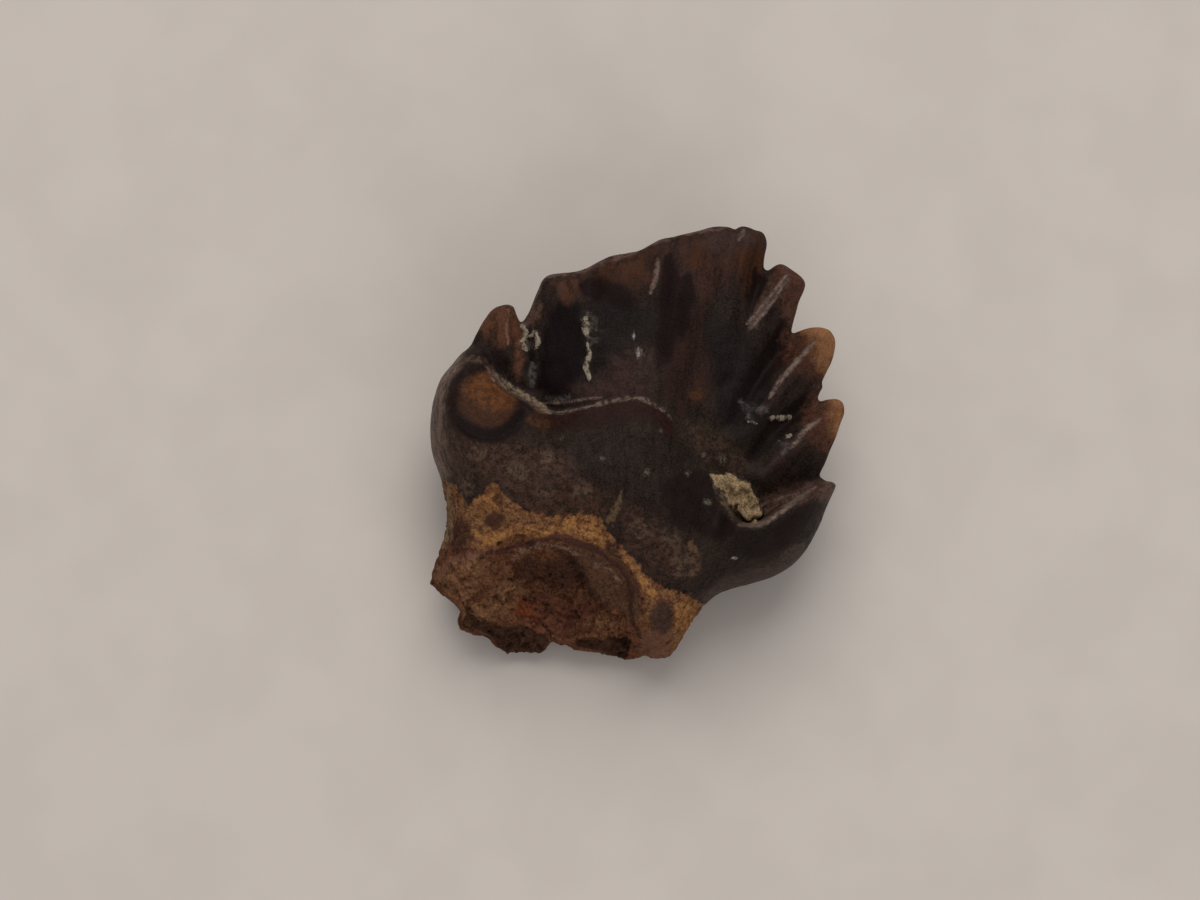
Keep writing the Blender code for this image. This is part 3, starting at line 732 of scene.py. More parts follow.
def spots_of(tooth, rim):
    """Where every vertex lies on the tooth, which way it faces and how deep in the break it is."""
    places = corners(tooth.data)
    facing = directions(tooth.data)
    u, v, w = places.T
    inside = outline_distance(u, v, rim)
    broken = front(u, v, inside)[1]
    return SimpleNamespace(
        u=u, v=v, w=w, shelf=below_line(u, v, SHELF), relief=crown_relief(u, v, inside),
        face=ramp(facing[:, 2], *FACE_SPAN), broken=ramp(broken, *BREAK_SPAN),
    )


def fan(spots):
    """Where every spot lies across and along the fan that opens up the crown."""
    across = np.arctan2(spots.u - FAN_AT[0], spots.v - FAN_AT[1]) * FAN_SCALE
    return across, np.hypot(spots.u - FAN_AT[0], spots.v - FAN_AT[1])


def ripples(spots):
    """Ripples that fan up the crown."""
    across, along = fan(spots)
    height = np.zeros(len(spots.u))
    for wide, long, high in RIPPLES:
        side = np.sign(spots.face - 0.5) * long
        places = zip(across / wide, along / long, side)
        height += high * np.array([noise.noise(place) for place in places])
    return height


def beads(spots):
    """Uneven small beads along the shelf."""
    distance = along_line(spots.u, spots.v, SHELF)[0]
    row = BEAD_THREAD + (1 - BEAD_THREAD) * ramp(grains(spots, BEAD_SIZE), *BEAD_GRAIN)
    ends = ramp(spots.u, *BEAD_START) * ramp(spots.u, *BEAD_END)
    return bump(distance, BEAD_REACH) * row * ends * spots.face


def grains(spots, size):
    """Uneven grains of one size, from 0 to 1."""
    places = np.stack([spots.u, spots.v, spots.w], axis=1) / size
    return 0.5 + 0.5 * np.array([noise.noise(place) for place in places])


def pores(spots):
    """How deep each vertex lies in one of the pores scattered over the broken root, from 0 to 1."""
    rng = np.random.default_rng(SEED)
    places = np.stack([spots.u, spots.v, spots.w], axis=1)
    density = broken_face(spots) * (1 - wall(spots)) + PORE_SHARE * root(spots)
    chosen = rng.choice(len(places), PORES, replace=False, p=density / density.sum())
    reach = PORE_REACH[0] + (PORE_REACH[1] - PORE_REACH[0]) * rng.random(PORES) ** 3
    tree = KDTree(PORES)
    for number, place in enumerate(places[chosen]):
        tree.insert(place, number)
    tree.balance()
    found = [tree.find(place)[1:] for place in places]
    number = np.array([n for n, _ in found])
    distance = np.array([d for _, d in found])
    return np.clip(1 - (distance / reach[number]) ** 2, 0, 1), reach[number]


def crevices(spots):
    """Short winding cracks in the broken bone, strongest at 1."""
    wide, fine = [bump(grains(spots, size) - 0.5, width) for size, width in CRACKS]
    return np.maximum(wide, FINE_CRACKS * fine) * ramp(grains(spots, CRACK_PATCHES), *CRACK_GRAIN)


def crusts(spots):
    """How much sediment lies on each vertex, and how high it is."""
    cover = np.zeros(len(spots.u))
    height = np.zeros(len(spots.u))
    for line, reach, high in CRUSTS:
        here = stroke(line, reach)(spots)
        cover = np.maximum(cover, here)
        height = np.maximum(height, here * high)
    crumb = patch(CRUMB, CRUMB_EDGE)(spots)
    knobs = KNOB_LOW + KNOB_RISE * ramp(grains(spots, KNOB_SIZE), *KNOB_GRAIN)
    return cover, crumb, np.maximum(height, crumb * knobs * CRUMB_HEIGHT)


def add_fine_relief(tooth, rim):
    """Move the surface in and out along its own direction."""
    spots = spots_of(tooth, rim)
    bone = root(spots)
    rough = np.maximum(broken_face(spots) * (1 - WALL_SMOOTH * wall(spots)), BARE_BONE_ROUGH * bone)
    height = ripples(spots) * (1 - rough)
    for line, reach, high, _ in PALE_LINES:
        height += high * stroke(line, reach)(spots)
    height += BEAD_HEIGHT * beads(spots)
    height += RING_HEIGHT * stroke(RIM_RING, RING_WIDTH)(spots)
    height += INNER_RING_HEIGHT * stroke(INNER_RING, INNER_RING_WIDTH)(spots)
    hole, reach = pores(spots)
    height -= PORE_DEPTH * hole * reach
    height += rough * sum(high * (grains(spots, size) - 0.5) for size, high in BONE_GRAIN)
    height -= CREVICE_DEPTH * crevices(spots) * rough
    fine, coarse = [grains(spots, size) for size in CRUST_GRAINS]
    height += crusts(spots)[2] * (CRUST_LEVEL + CRUST_ROUGH * fine + CRUST_ROUGH * coarse)
    move_corners(tooth.data, corners(tooth.data) + directions(tooth.data) * height[:, None])


def root(spots):
    """The root's bare bone, all around."""
    return ramp(below_line(spots.u, spots.v, ENAMEL_END), *ROOT_SPAN)


def wall(spots):
    """The smooth wall of the hollow, between its rim and the foot from which the floor steps down."""
    above = ramp(below_line(spots.u, spots.v, WALL_FOOT), *WALL_SPAN)
    right = ramp(spots.u, *WALL_LEFT) * ramp(spots.u, *WALL_RIGHT)
    return above * right * broken_face(spots)


def dimple_floor(spots):
    """The worn floor of the dimple, cut off by the lip above it."""
    return ramp(1 - oval(spots.u, spots.v, DIMPLE_AT, DIMPLE_HALF), *DIMPLE_FLOOR) * dimple_side(spots)


def dimple_rim(spots):
    """The dark ring around the dimple's floor."""
    distance = np.sqrt(oval(spots.u, spots.v, DIMPLE_AT, DIMPLE_HALF))
    return bump(distance - DIMPLE_RING, DIMPLE_RING_WIDTH) * dimple_side(spots)


def dimple_side(spots):
    return ramp(spots.shelf, *DIMPLE_SPAN) * spots.face


def crown_side(spots):
    return spots.face * ramp(spots.shelf, *CROWN_SPAN)


def grooves(spots):
    """The bottoms of the crown's grooves, where shade is painted."""
    return ramp(-spots.relief, *GROOVE_SPAN) * crown_side(spots) * ramp(spots.v, *GROOVE_FADE)


def crest_light(spots):
    """The tops of the crown's ridges, where highlights are painted."""
    return ramp(spots.relief, *CREST_SPAN) * crown_side(spots)


def band(spots):
    """The bright band of bone next to the enamel, all around."""
    return root(spots) * ramp(below_line(spots.u, spots.v, BAND_END), *BAND_SPAN)


def broken_face(spots):
    return spots.broken * spots.face


def base_edge_shade(spots):
    """The break between the lip and the outline, which faces down and is painted in shade."""
    below = ramp(below_line(spots.u, spots.v, LIP), *BASE_SPAN)
    return below * broken_face(spots) * ramp(spots.u, *BASE_END)


def crevices_seen(spots):
    return crevices(spots) * broken_face(spots) * (1 - WALL_FAINT * wall(spots))


def pores_seen(spots):
    return pores(spots)[0]


def crust_cover(spots):
    return crusts(spots)[0]


def crumb_cover(spots):
    return crusts(spots)[1]


def pale_lines(spots):
    return np.max([pale * stroke(line, reach)(spots) for line, reach, _, pale in PALE_LINES], axis=0)


def paint_marks(tooth, rim):
    """Keep each layer's strength, and the way the crown's streaks run, with every vertex."""
    spots = spots_of(tooth, rim)
    ragged = SimpleNamespace(**vars(spots))
    for size, shift in RAGGED:
        ragged.u = ragged.u + shift * (grains(spots, size) - 0.5) * 2
        ragged.v = ragged.v + shift * (grains(spots, size * RAGGED_UP) - 0.5) * 2
    for layer in LAYERS:
        strength = np.max([mark(ragged if layer.ragged else spots) for mark in layer.marks], axis=0)
        store(tooth, layer.name, "FLOAT", "value", strength)
    across, along = fan(spots)
    store(tooth, "fan", "FLOAT_VECTOR", "vector", np.stack([across, along * FAN_STRETCH, spots.w], axis=1))


def store(tooth, name, kind, field, values):
    """Keep one value or vector with every vertex."""
    attribute = tooth.data.attributes.new(name, kind, "POINT")
    attribute.data.foreach_set(field, values.astype(np.float32).ravel())


def linear(colour):
    """A colour given as sRGB from 0 to 255, as linear light."""
    return (*(((c / 255 + 0.055) / 1.055) ** 2.4 for c in colour), 1)


def node(tree, kind, inputs, **settings):
    """A new node with these inputs, by name or number, each a value or another node's output."""
    made = tree.nodes.new("ShaderNode" + kind)
    for name, value in settings.items():
        setattr(made, name, value)
    for name, value in inputs.items():
        if isinstance(value, bpy.types.NodeSocket):
            tree.links.new(value, made.inputs[name])
        else:
            made.inputs[name].default_value = value
    return made


def calculate(tree, operation, *values):
    return node(tree, "Math", dict(enumerate(values)), operation=operation).outputs[0]


def mix_colours(tree, share, first, second):
    return node(tree, "Mix", {0: share, 6: first, 7: second}, data_type="RGBA").outputs[2]


def mix_values(tree, share, first, second):
    return node(tree, "Mix", {0: share, 2: first, 3: second}, data_type="FLOAT").outputs[0]


def step(tree, value, low, high):
    """0 below low and 1 above high, smooth between them."""
    inputs = {"Value": value, "From Min": low, "From Max": high}
    return node(tree, "MapRange", inputs, interpolation_type="SMOOTHSTEP").outputs[0]


def speckle(tree, place, size, span=NOISE_SPAN):
    """Noise of one size, spread over 0 to 1."""
    inputs = {"Vector": place, "Scale": 1 / size, "Detail": 2.0, "Roughness": 0.6}
    return step(tree, node(tree, "TexNoise", inputs).outputs[0], *span)


def fossil_material():
    """Enamel and bone of the fossil: each layer covers what lies under it where its mark is strong."""
    material = bpy.data.materials.new("fossil_enamel")
    material.use_nodes = True
    tree = material.node_tree
    shader = tree.nodes["Principled BSDF"]
    spot_place = node(tree, "TexCoord", {}).outputs["Object"]
    place = node(tree, "VectorMath", {0: spot_place, "Scale": 1 / MILLIMETRE}, operation="SCALE").outputs[0]
    streaks = node(tree, "Attribute", {}, attribute_name="fan").outputs["Vector"]
    noises = {name: speckle(tree, place, size) for name, size in NOISE_SIZES.items()}
    noises["patchy"] = speckle(tree, place, PATCHY_SIZE, PATCHY_SPAN)
    noises["streak"] = speckle(tree, streaks, STREAK_SIZE)
    mottle = mix_values(tree, 0.5, mix_values(tree, 0.5, noises["broad"], noises["streak"]), noises["fine"])
    colour = mix_colours(tree, mottle, linear(ENAMEL_DARK), linear(ENAMEL_LIGHT))
    fleck = calculate(tree, "MULTIPLY", speckle(tree, place, FLECK_SIZE, FLECK_SPAN), FLECK_COVER)
    colour = mix_colours(tree, fleck, colour, linear(ENAMEL_FLECK))
    rough = mix_values(tree, noises["grain"], *ENAMEL_ROUGHNESS)
    for layer in LAYERS:
        strength = node(tree, "Attribute", {}, attribute_name=layer.name).outputs["Fac"]
        noise_field = noises[layer.noise]
        worn = calculate(tree, "MULTIPLY_ADD", noise_field, 2 * layer.wear, 1 - layer.wear)
        mask = step(tree, calculate(tree, "MULTIPLY", strength, worn), *layer.edge)
        mask = calculate(tree, "MULTIPLY", mask, layer.cover)
        light = calculate(tree, "MULTIPLY", mask, mix_values(tree, FINE_SHARE, noise_field, noises["fine"]))
        colour = mix_colours(tree, mask, colour, linear(layer.dark))
        colour = mix_colours(tree, light, colour, linear(layer.light))
        rough = mix_values(tree, mask, rough, layer.rough)
    tree.links.new(colour, shader.inputs["Base Color"])
    tree.links.new(rough, shader.inputs["Roughness"])
    shader.inputs["Specular IOR Level"].default_value = ENAMEL_SHINE
    bone = node(tree, "Attribute", {}, attribute_name="bone").outputs["Fac"]
    relief = mix_values(tree, noises["fine"], 0.0, FINE_BUMP)
    relief = calculate(tree, "ADD", relief, mix_values(tree, noises["grain"], 0.0, GRAIN_BUMP))
    relief = calculate(tree, "MULTIPLY", relief, mix_values(tree, bone, ENAMEL_BUMP, 1.0))
    bumps = node(tree, "Bump", {"Height": relief, "Distance": MILLIMETRE, "Strength": 1.0})
    tree.links.new(bumps.outputs[0], shader.inputs["Normal"])
    return material


def paper_material():
    """Plain pale matt surface with a faint mottle."""
    material = bpy.data.materials.new("paper")
    material.use_nodes = True
    tree = material.node_tree
    shader = tree.nodes["Principled BSDF"]
    spot_place = node(tree, "TexCoord", {}).outputs["Object"]
    tone = speckle(tree, spot_place, FLOOR_MOTTLE)
    colour = mix_colours(tree, tone, linear(FLOOR_DARK), linear(FLOOR_LIGHT))
    tree.links.new(colour, shader.inputs["Base Color"])
    shader.inputs["Roughness"].default_value = FLOOR_ROUGHNESS
    return material


def build_tooth():
    """The fine surface of the tooth, and the move that laid it down."""
    tooth, rim = plate_and_rim()
    bpy.context.scene.collection.objects.link(tooth)
    with_modifier(tooth, "REMESH", mode="VOXEL", voxel_size=SHAPING_VOXEL)
    shape_faces(tooth, rim)
    with_modifier(tooth, "REMESH", mode="VOXEL", voxel_size=SURFACE_VOXEL)
    with_modifier(tooth, "SMOOTH", factor=0.5, iterations=3)
    add_fine_relief(tooth, rim)
    with_modifier(tooth, "TRIANGULATE")
    if len(tooth.data.polygons) > TRIANGLES:
        with_modifier(tooth, "DECIMATE", ratio=TRIANGLES / len(tooth.data.polygons))
    paint_marks(tooth, rim)
    move = lay_down(tooth)
    tooth.data.shade_smooth()
    tooth.data.materials.append(fossil_material())
    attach(tooth, "root")
    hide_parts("tooth")
    return move


def add_camera(move):
    """A camera that looks down on the face, square on, at the photograph's framing."""
    lean = Matrix.Rotation(LEAN, 4, "X")
    camera = bpy.data.objects.new("camera", bpy.data.cameras.new("camera"))
    camera.data.sensor_width = SENSOR
    camera.data.lens = SENSOR * CAMERA_DISTANCE / VIEW_WIDTH
    camera.data.clip_start = CAMERA_CLIP
    camera.rotation_euler = (LEAN, 0, 0)
    camera.location = (lean @ Vector((*CAMERA_AT, CAMERA_DISTANCE)) + move) * MILLIMETRE
    bpy.context.scene.collection.objects.link(camera)
    bpy.context.scene.camera = camera


def add_lamp(name, place, size, energy, colour):
    """A soft disk of light that points at the tooth."""
    light = bpy.data.lights.new(name, "AREA")
    light.shape = "DISK"
    light.size = size
    light.energy = energy
    light.color = colour
    lamp = bpy.data.objects.new(name, light)
    lamp.location = place
    lamp.rotation_euler = (-lamp.location).to_track_quat("-Z", "Y").to_euler()
    bpy.context.scene.collection.objects.link(lamp)


def add_world():
    """A dim even light from all around."""
    world = bpy.data.worlds.new("world")
    world.use_nodes = True
    world.node_tree.nodes["Background"].inputs["Color"].default_value = WORLD_COLOUR
    world.node_tree.nodes["Background"].inputs["Strength"].default_value = WORLD_STRENGTH
    bpy.context.scene.world = world


def add_floor():
    bpy.ops.mesh.primitive_plane_add(size=FLOOR_SIZE, location=(0, 0, FLOOR_Z))
    floor = bpy.context.object
    floor.name = "floor"
    floor.data.materials.append(paper_material())


# One layer of colour: its marks, its dark and light tone, how much it covers and how rough it is. Then the
# noise that mottles and wears it, how much it wears, at which strength of its marks it starts and is whole,
# and whether its edge wanders.
Layer = namedtuple(
    "Layer", "name marks dark light cover rough noise wear edge ragged",
    defaults=[0.8, 0.48, "grain", 0.3, (0.1, 0.9), True],
)
LAYERS = [
    # Enamel of the crown
    Layer("umber", [patch([
        (-2.2, 5.9), (-0.6, 6.5), (1.0, 7.0), (3.0, 7.5), (4.5, 7.2), (4.4, 6.0), (3.6, 5.6), (2.6, 5.0),
        (1.6, 5.4), (0.8, 5.6), (0.0, 5.5), (-0.6, 5.4), (-1.2, 5.2), (-1.9, 5.3),
    ], 0.45)], (40, 25, 20), (68, 45, 38), noise="streak", wear=0.4),
    Layer("plain_brown", [patch([
        (1.75, 5.0), (2.4, 4.8), (2.8, 3.4), (2.6, 2.2), (1.8, 1.7), (1.3, 2.4), (1.5, 3.6),
    ], 0.4)], (32, 19, 16), (56, 38, 33), noise="streak", wear=0.4),
    Layer("auburn", [ovals((0.15, 5.9, 1.05, 1.0), (3.85, 6.2, 0.55, 1.2), (2.3, 6.4, 0.5, 0.6))],
        (54, 31, 19), (76, 47, 30), 0.75, noise="streak", wear=0.4, edge=(0, 1.2)),
    Layer("soot", [
        stroke([(1.5, 6.4), (1.45, 5.2), (1.35, 4.0), (1.15, 3.0)], 0.36),
        stroke([(-1.1, 5.5), (-0.3, 5.3), (0.1, 5.1), (0.3, 4.6)], 0.4),
        stroke([(2.0, 5.8), (1.9, 5.0), (1.8, 4.0)], 0.3),
    ], (14, 7, 7), (32, 19, 17), 0.9, noise="streak"),
    Layer("slate", [
        patch([
            (-1.4, 4.7), (-0.5, 4.9), (0.2, 4.8), (0.9, 4.9), (1.0, 4.2), (0.3, 3.4), (-0.6, 2.7),
            (-1.4, 2.25), (-1.6, 3.4),
        ], 0.25),
        patch([
            (2.9, 4.6), (3.6, 4.2), (4.2, 3.4), (4.6, 2.6), (4.6, 2.0), (4.3, 1.2), (3.6, 0.9), (3.1, 1.3),
            (2.8, 2.2), (2.7, 3.4), (2.5, 4.3),
        ], 0.3),
    ], (18, 15, 14), (42, 36, 34), noise="patchy"),
    Layer("ink", [patch([
        (-2.4, 2.6), (-2.3, 3.9), (-1.95, 5.0), (-1.55, 5.25), (-1.2, 4.9), (-1.1, 4.0), (-1.15, 3.0),
        (-1.4, 2.25), (-2.2, 2.2),
    ], 0.22)], (12, 7, 8), (26, 17, 17), 0.9),
    Layer("sheen", [
        stroke([(-2.45, 5.0), (-2.62, 4.6), (-2.8, 4.3)], 0.22),
        stroke([(5.25, 5.8), (5.35, 5.2), (5.15, 4.4)], 0.42),
        stroke([(4.8, 6.0), (4.5, 5.3), (4.1, 4.7)], 0.26),
        stroke([(4.1, -1.15), (4.8, -0.85), (5.7, -0.5)], 0.32), ovals((6.1, -0.62, 0.6, 0.45)),
    ], (62, 44, 37), (94, 71, 61), 0.9, edge=(0, 1.0)),
    Layer("blush", [ovals((0.45, 3.0, 1.15, 0.9), (-0.1, 2.45, 1.7, 0.6), (3.3, 6.9, 1.1, 0.6))],
        (44, 31, 28), (72, 53, 47), 0.75, noise="patchy", edge=(0, 1.1)),
    # Painted shade in the bottoms of the crown's grooves
    Layer("grooves", [grooves], (14, 9, 9), (30, 21, 19), 0.7, ragged=False),
    # Painted highlight on the tops of the crown's ridges
    Layer("crest_light", [crest_light], (46, 33, 29), (70, 53, 47), 0.6, ragged=False),
    # Enamel of the cingulum and of the neck below it
    Layer("violet", [
        patch([
            (3.4, -1.8), (4.2, -1.8), (5.0, -1.3), (5.8, -0.9), (5.6, -1.6), (4.9, -2.3), (4.0, -2.6),
            (3.3, -2.3),
        ], 0.3),
        patch([
            (1.2, -0.4), (2.4, 0.0), (2.8, -0.4), (3.2, -1.2), (3.4, -1.9), (2.9, -2.0), (2.2, -1.7),
            (1.5, -1.5),
        ], 0.3),
    ], (17, 11, 10), (38, 27, 24), noise="broad"),
    Layer("ledge", [patch([
        (1.9, 1.5), (2.6, 1.3), (3.6, 0.6), (3.9, -0.1), (3.3, -0.2), (2.7, 0.1), (2.3, 0.6), (1.9, 1.1),
    ], 0.4)], (38, 28, 23), (76, 58, 45), wear=0.5, edge=(0, 1.4)),
    Layer("russet", [
        stroke([(-2.9, 1.65), (-1.9, 1.45), (-0.8, 1.6), (0.2, 1.8), (0.9, 1.7), (1.5, 1.2)], 0.34),
        stroke([(5.3, 3.95), (4.95, 3.5), (4.6, 3.05)], 0.2),
        stroke([(4.26, -1.38), (4.6, -1.3), (4.86, -1.11)], 0.08),
    ], (30, 16, 13), (52, 31, 25), 0.85),
    Layer("sienna", [ovals((-2.42, 1.46, 0.5, 0.36), (2.3, 2.35, 0.25, 0.4))],
        (48, 30, 21), (82, 52, 34), 0.75, noise="patchy", wear=0.6, edge=(0, 1.1)),
    Layer("cocoa", [
        patch([
            (-0.2, -1.0), (0.6, -1.1), (1.2, -1.8), (2.1, -2.3), (2.2, -3.3), (1.2, -3.2), (0.2, -2.3),
        ], 0.45),
        patch([(-3.6, -0.8), (-2.4, -0.5), (-1.0, -0.4), (-0.3, -0.8), (-0.4, -1.6), (-2.6, -1.5)], 0.4),
    ], (42, 28, 22), (78, 55, 44), 0.85, wear=0.4, edge=(0, 1.3)),
    Layer("olive", [patch([
        (-5.2, 1.2), (-3.0, 0.8), (-1.5, 0.4), (-1.1, -0.4), (-2.2, -0.7), (-3.3, -0.7), (-4.2, -0.3),
        (-5.5, -0.2),
    ], 0.55)], (48, 34, 28), (82, 62, 52), 0.85, edge=(0, 1.2)),
    Layer("blotches", [ovals(
        (-3.05, -0.05, 0.5, 0.4), (-2.2, -0.7, 0.4, 0.3), (-1.1, -0.62, 0.44, 0.28),
        (1.45, -2.05, 0.45, 0.45), (1.85, -2.75, 0.42, 0.6), (-2.2, 0.3, 0.4, 0.34), (0.6, -1.7, 0.55, 0.45),
        (-4.2, 0.5, 0.45, 0.35), (-4.6, -0.5, 0.35, 0.5),
    )], (68, 53, 43), (104, 85, 68), 0.55, wear=0.5, edge=(0, 1.4)),
    Layer("tan_arc", [stroke([(2.14, -2.15), (2.22, -2.6), (2.12, -3.15)], 0.14)],
        (68, 51, 38), (98, 76, 56), wear=0.6, edge=(0, 1.2)),
    # Edges and tips: painted light along the cingulum's lower edge and through the thin tips, painted
    # highlights along the rims, and a painted reflection down the left edge
    Layer("edge_glow", [stroke([(2.5, -3.8), (3.7, -3.3), (4.7, -2.95), (5.45, -2.25)], 0.34)],
        (50, 39, 35), (74, 60, 54), 0.85),
    Layer("tip_glow", [ovals((5.85, 3.8, 1.2, 1.3), (6.2, 1.55, 0.9, 1.3), (5.15, 5.6, 0.7, 1.2))],
        (58, 36, 27), (88, 58, 44), 0.85, edge=(0, 0.8)),
    # Painted light shining through the thin denticle tips, as an amber glow
    Layer("amber_glow", [ovals((6.32, 3.8, 0.85, 1.2), (5.85, 4.32, 0.75, 0.42), (6.64, 1.65, 0.62, 1.15))],
        (102, 65, 40), (146, 104, 70), 0.92, noise="broad", wear=0.2, edge=(0, 1.1)),
    Layer("ember_spot", [ovals((-1.55, 5.42, 0.4, 0.66))],
        (62, 38, 26), (92, 60, 42), 0.5, noise="streak", wear=0.5, edge=(0, 1.2)),
    Layer("rim_light", [stroke([
        (-2.85, 4.6), (-2.45, 5.42), (-2.15, 5.8), (-1.35, 5.92), (-0.63, 6.22), (0.3, 6.48), (1.26, 6.89),
        (2.34, 7.13), (3.2, 7.25),
    ], 0.1)], (74, 56, 50), (104, 84, 77), 0.6, noise="streak", wear=0.5, edge=(0, 1.1)),
    # Paler grey down the left edge: partly the enamel's grey, partly a painted reflection of light from the
    # left
    Layer("ashen_sheen", [stroke([(-4.8, 3.5), (-5.45, 2.3), (-5.6, 1.0), (-5.3, -0.3)], 0.46)],
        (80, 65, 57), (124, 104, 92), 0.85, noise="streak", edge=(0, 1.3)),
    # Left cusp and wear dimple
    Layer("cusp", [ovals((-3.62, 4.62, 0.8, 1.2))],
        (62, 40, 30), (98, 64, 47), 0.9, noise="streak", wear=0.4, edge=(0, 0.9)),
    Layer("cusp_facet", [stroke([(-3.14, 4.9), (-3.06, 4.2), (-3.04, 3.6), (-3.1, 2.7)], 0.17)],
        (74, 47, 34), (104, 69, 52), wear=0.2, edge=(0, 1.1)),
    Layer("cusp_crest", [stroke([(-3.3, 4.85), (-3.36, 4.3), (-3.34, 3.7)], 0.07)],
        (96, 66, 50), (130, 96, 78), 0.7, edge=(0, 1.1)),
    Layer("cusp_shade", [patch([
        (-4.6, 3.5), (-4.0, 3.5), (-3.5, 3.6), (-3.3, 3.2), (-3.55, 2.8), (-3.9, 3.05), (-4.5, 3.2),
    ], 0.18)], (22, 14, 13), (40, 29, 27), 0.9, wear=0.1),
    Layer("dimple_ring", [dimple_rim], (24, 16, 14), (42, 30, 26), 0.85, wear=0.2, ragged=False),
    Layer("dimple", [dimple_floor],
        (52, 32, 23), (74, 47, 32), 0.95, wear=0.1, edge=(0.05, 0.9), ragged=False),
    # Painted light on the upper part of the dimple's bowl, the side that faces the light
    Layer("dimple_light", [ovals((-4.02, 2.4, 0.8, 0.6), (-3.6, 2.05, 0.6, 0.4))],
        (86, 52, 29), (112, 70, 39), 0.85, edge=(0, 1.3)),
    Layer("dimple_shade", [stroke([
        (-4.8, 1.5), (-4.35, 1.14), (-3.75, 1.02), (-3.2, 1.26), (-2.88, 1.8),
    ], 0.2)], (15, 10, 10), (30, 22, 21), 0.85, wear=0.2, edge=(0, 1.0)),
    # Bare bone of the root
    Layer("bone", [root],
        (64, 38, 27), (108, 68, 47), 1.0, 0.75, noise="patchy", wear=0.7, edge=(0.18, 0.75)),
    Layer("band", [
        band,
        patch([
            (0.45, -3.3), (0.7, -3.4), (1.2, -3.75), (2.0, -4.0), (2.7, -4.1), (2.3, -4.8), (1.7, -5.4),
            (1.52, -4.74), (1.46, -4.05), (0.95, -3.95), (0.8, -4.3), (0.75, -4.8), (0.55, -4.6),
        ], 0.1),
    ], (78, 50, 34), (136, 98, 64), 0.95, 0.75, wear=0.6, edge=(0.1, 0.8)),
    Layer("ochre", [
        stroke([(-4.2, -1.95), (-3.6, -2.18), (-2.9, -2.04), (-2.2, -1.85)], 0.36),
        stroke([(-2.0, -1.65), (-1.3, -1.62), (-0.8, -1.85), (-0.5, -2.2)], 0.3),
        stroke([(-0.05, -2.6), (0.4, -3.2), (1.1, -3.75)], 0.2),
        ovals((-3.9, -0.95, 0.45, 0.4), (1.9, -4.35, 0.4, 0.6)),
    ], (104, 67, 38), (166, 119, 72), 0.85, 0.75, wear=0.6, edge=(0, 0.9)),
    Layer("pale_edge", [stroke([(-5.12, -0.5), (-5.12, -1.4), (-5.3, -2.3)], 0.22)],
        (90, 66, 48), (140, 112, 84), 0.85, 0.7, wear=0.6),
    Layer("dark_patches", [
        ovals((-3.72, -1.4, 0.42, 0.38), (-3.6, -0.82, 0.22, 0.2), (-4.75, -1.9, 0.5, 0.6)),
        stroke([(-0.45, -2.15), (-0.2, -2.3), (-0.02, -2.55)], 0.17),
    ], (44, 27, 22), (72, 46, 36), 0.8, 0.75, noise="patchy", wear=0.7, edge=(0, 0.9)),
    # Break and hollow
    Layer("broken", [broken_face], (68, 42, 29), (124, 82, 57), 1.0, 0.8, wear=0.2, edge=(0.35, 0.65)),
    Layer("spongy", [patch([
        (-5.4, -3.3), (-4.8, -2.6), (-4.0, -2.5), (-3.3, -2.9), (-3.0, -3.9), (-3.4, -4.5), (-4.3, -4.6),
        (-5.0, -4.0),
    ], 0.35)], (78, 48, 33), (134, 92, 64), 0.9, 0.8, noise="patchy", wear=0.7, edge=(0, 1.0)),
    Layer("wall", [wall], (70, 46, 34), (110, 79, 58), 0.95, 0.65, wear=0.2, edge=(0.3, 0.7), ragged=False),
    # Dark purple near the top of the hollow: partly the bone's own colour, partly painted shade under the rim
    Layer("plum_shade", [ovals((-1.75, -3.1, 0.95, 0.6), (-2.75, -2.95, 0.5, 0.45))],
        (48, 31, 26), (84, 56, 45), 0.75, 0.75, wear=0.5, edge=(0, 1.0)),
    Layer("rust", [ovals((-1.75, -4.35, 1.4, 0.8))], (80, 48, 37), (120, 76, 58), 0.8, 0.8, wear=0.5),
    Layer("tan_bone", [ovals(
        (-4.55, -2.9, 0.9, 0.5), (-4.7, -3.55, 0.7, 0.45), (-3.95, -4.2, 0.7, 0.45), (-3.3, -3.75, 0.6, 0.6),
        (-5.2, -3.1, 0.4, 0.45), (-0.6, -4.6, 0.6, 0.35),
    )], (94, 64, 45), (150, 110, 76), 0.7, 0.8, noise="patchy", wear=0.6, edge=(0, 1.1)),
    Layer("ember", [stroke([(-2.95, -3.95), (-2.8, -4.4), (-2.55, -4.75)], 0.32)],
        (98, 48, 30), (138, 74, 46), 0.75, 0.8, wear=0.6, edge=(0, 1.2)),
    # Painted shade along the step at the foot of the hollow's wall and beside the knob
    Layer("foot_shade", [
        stroke(WALL_FOOT[3:8], 0.15), stroke([(0.26, -3.29), (0.35, -4.36), (0.7, -5.15)], 0.08),
    ], (32, 20, 17), (56, 38, 31), 0.6, 0.8, wear=0.5, edge=(0, 1.2)),
    Layer("rings", [stroke(RIM_RING, 0.1)], (56, 34, 30), (84, 54, 46), 0.8, 0.7),
    Layer("pale_ring", [stroke(INNER_RING, 0.08), stroke([(-0.9, -2.75), (-0.4, -2.95), (0.0, -3.4)], 0.08)],
        (92, 68, 56), (140, 112, 94), 0.8, 0.7, wear=0.6, edge=(0.1, 1.0)),
    Layer("far_ring", [stroke([(-5.5, -3.15), (-4.95, -2.72), (-4.3, -2.5), (-3.8, -2.38)], 0.12)],
        (88, 60, 48), (124, 90, 74), 0.55, 0.7, wear=0.5, edge=(0, 1.2)),
    # Painted shade on the break below the lip, which faces down
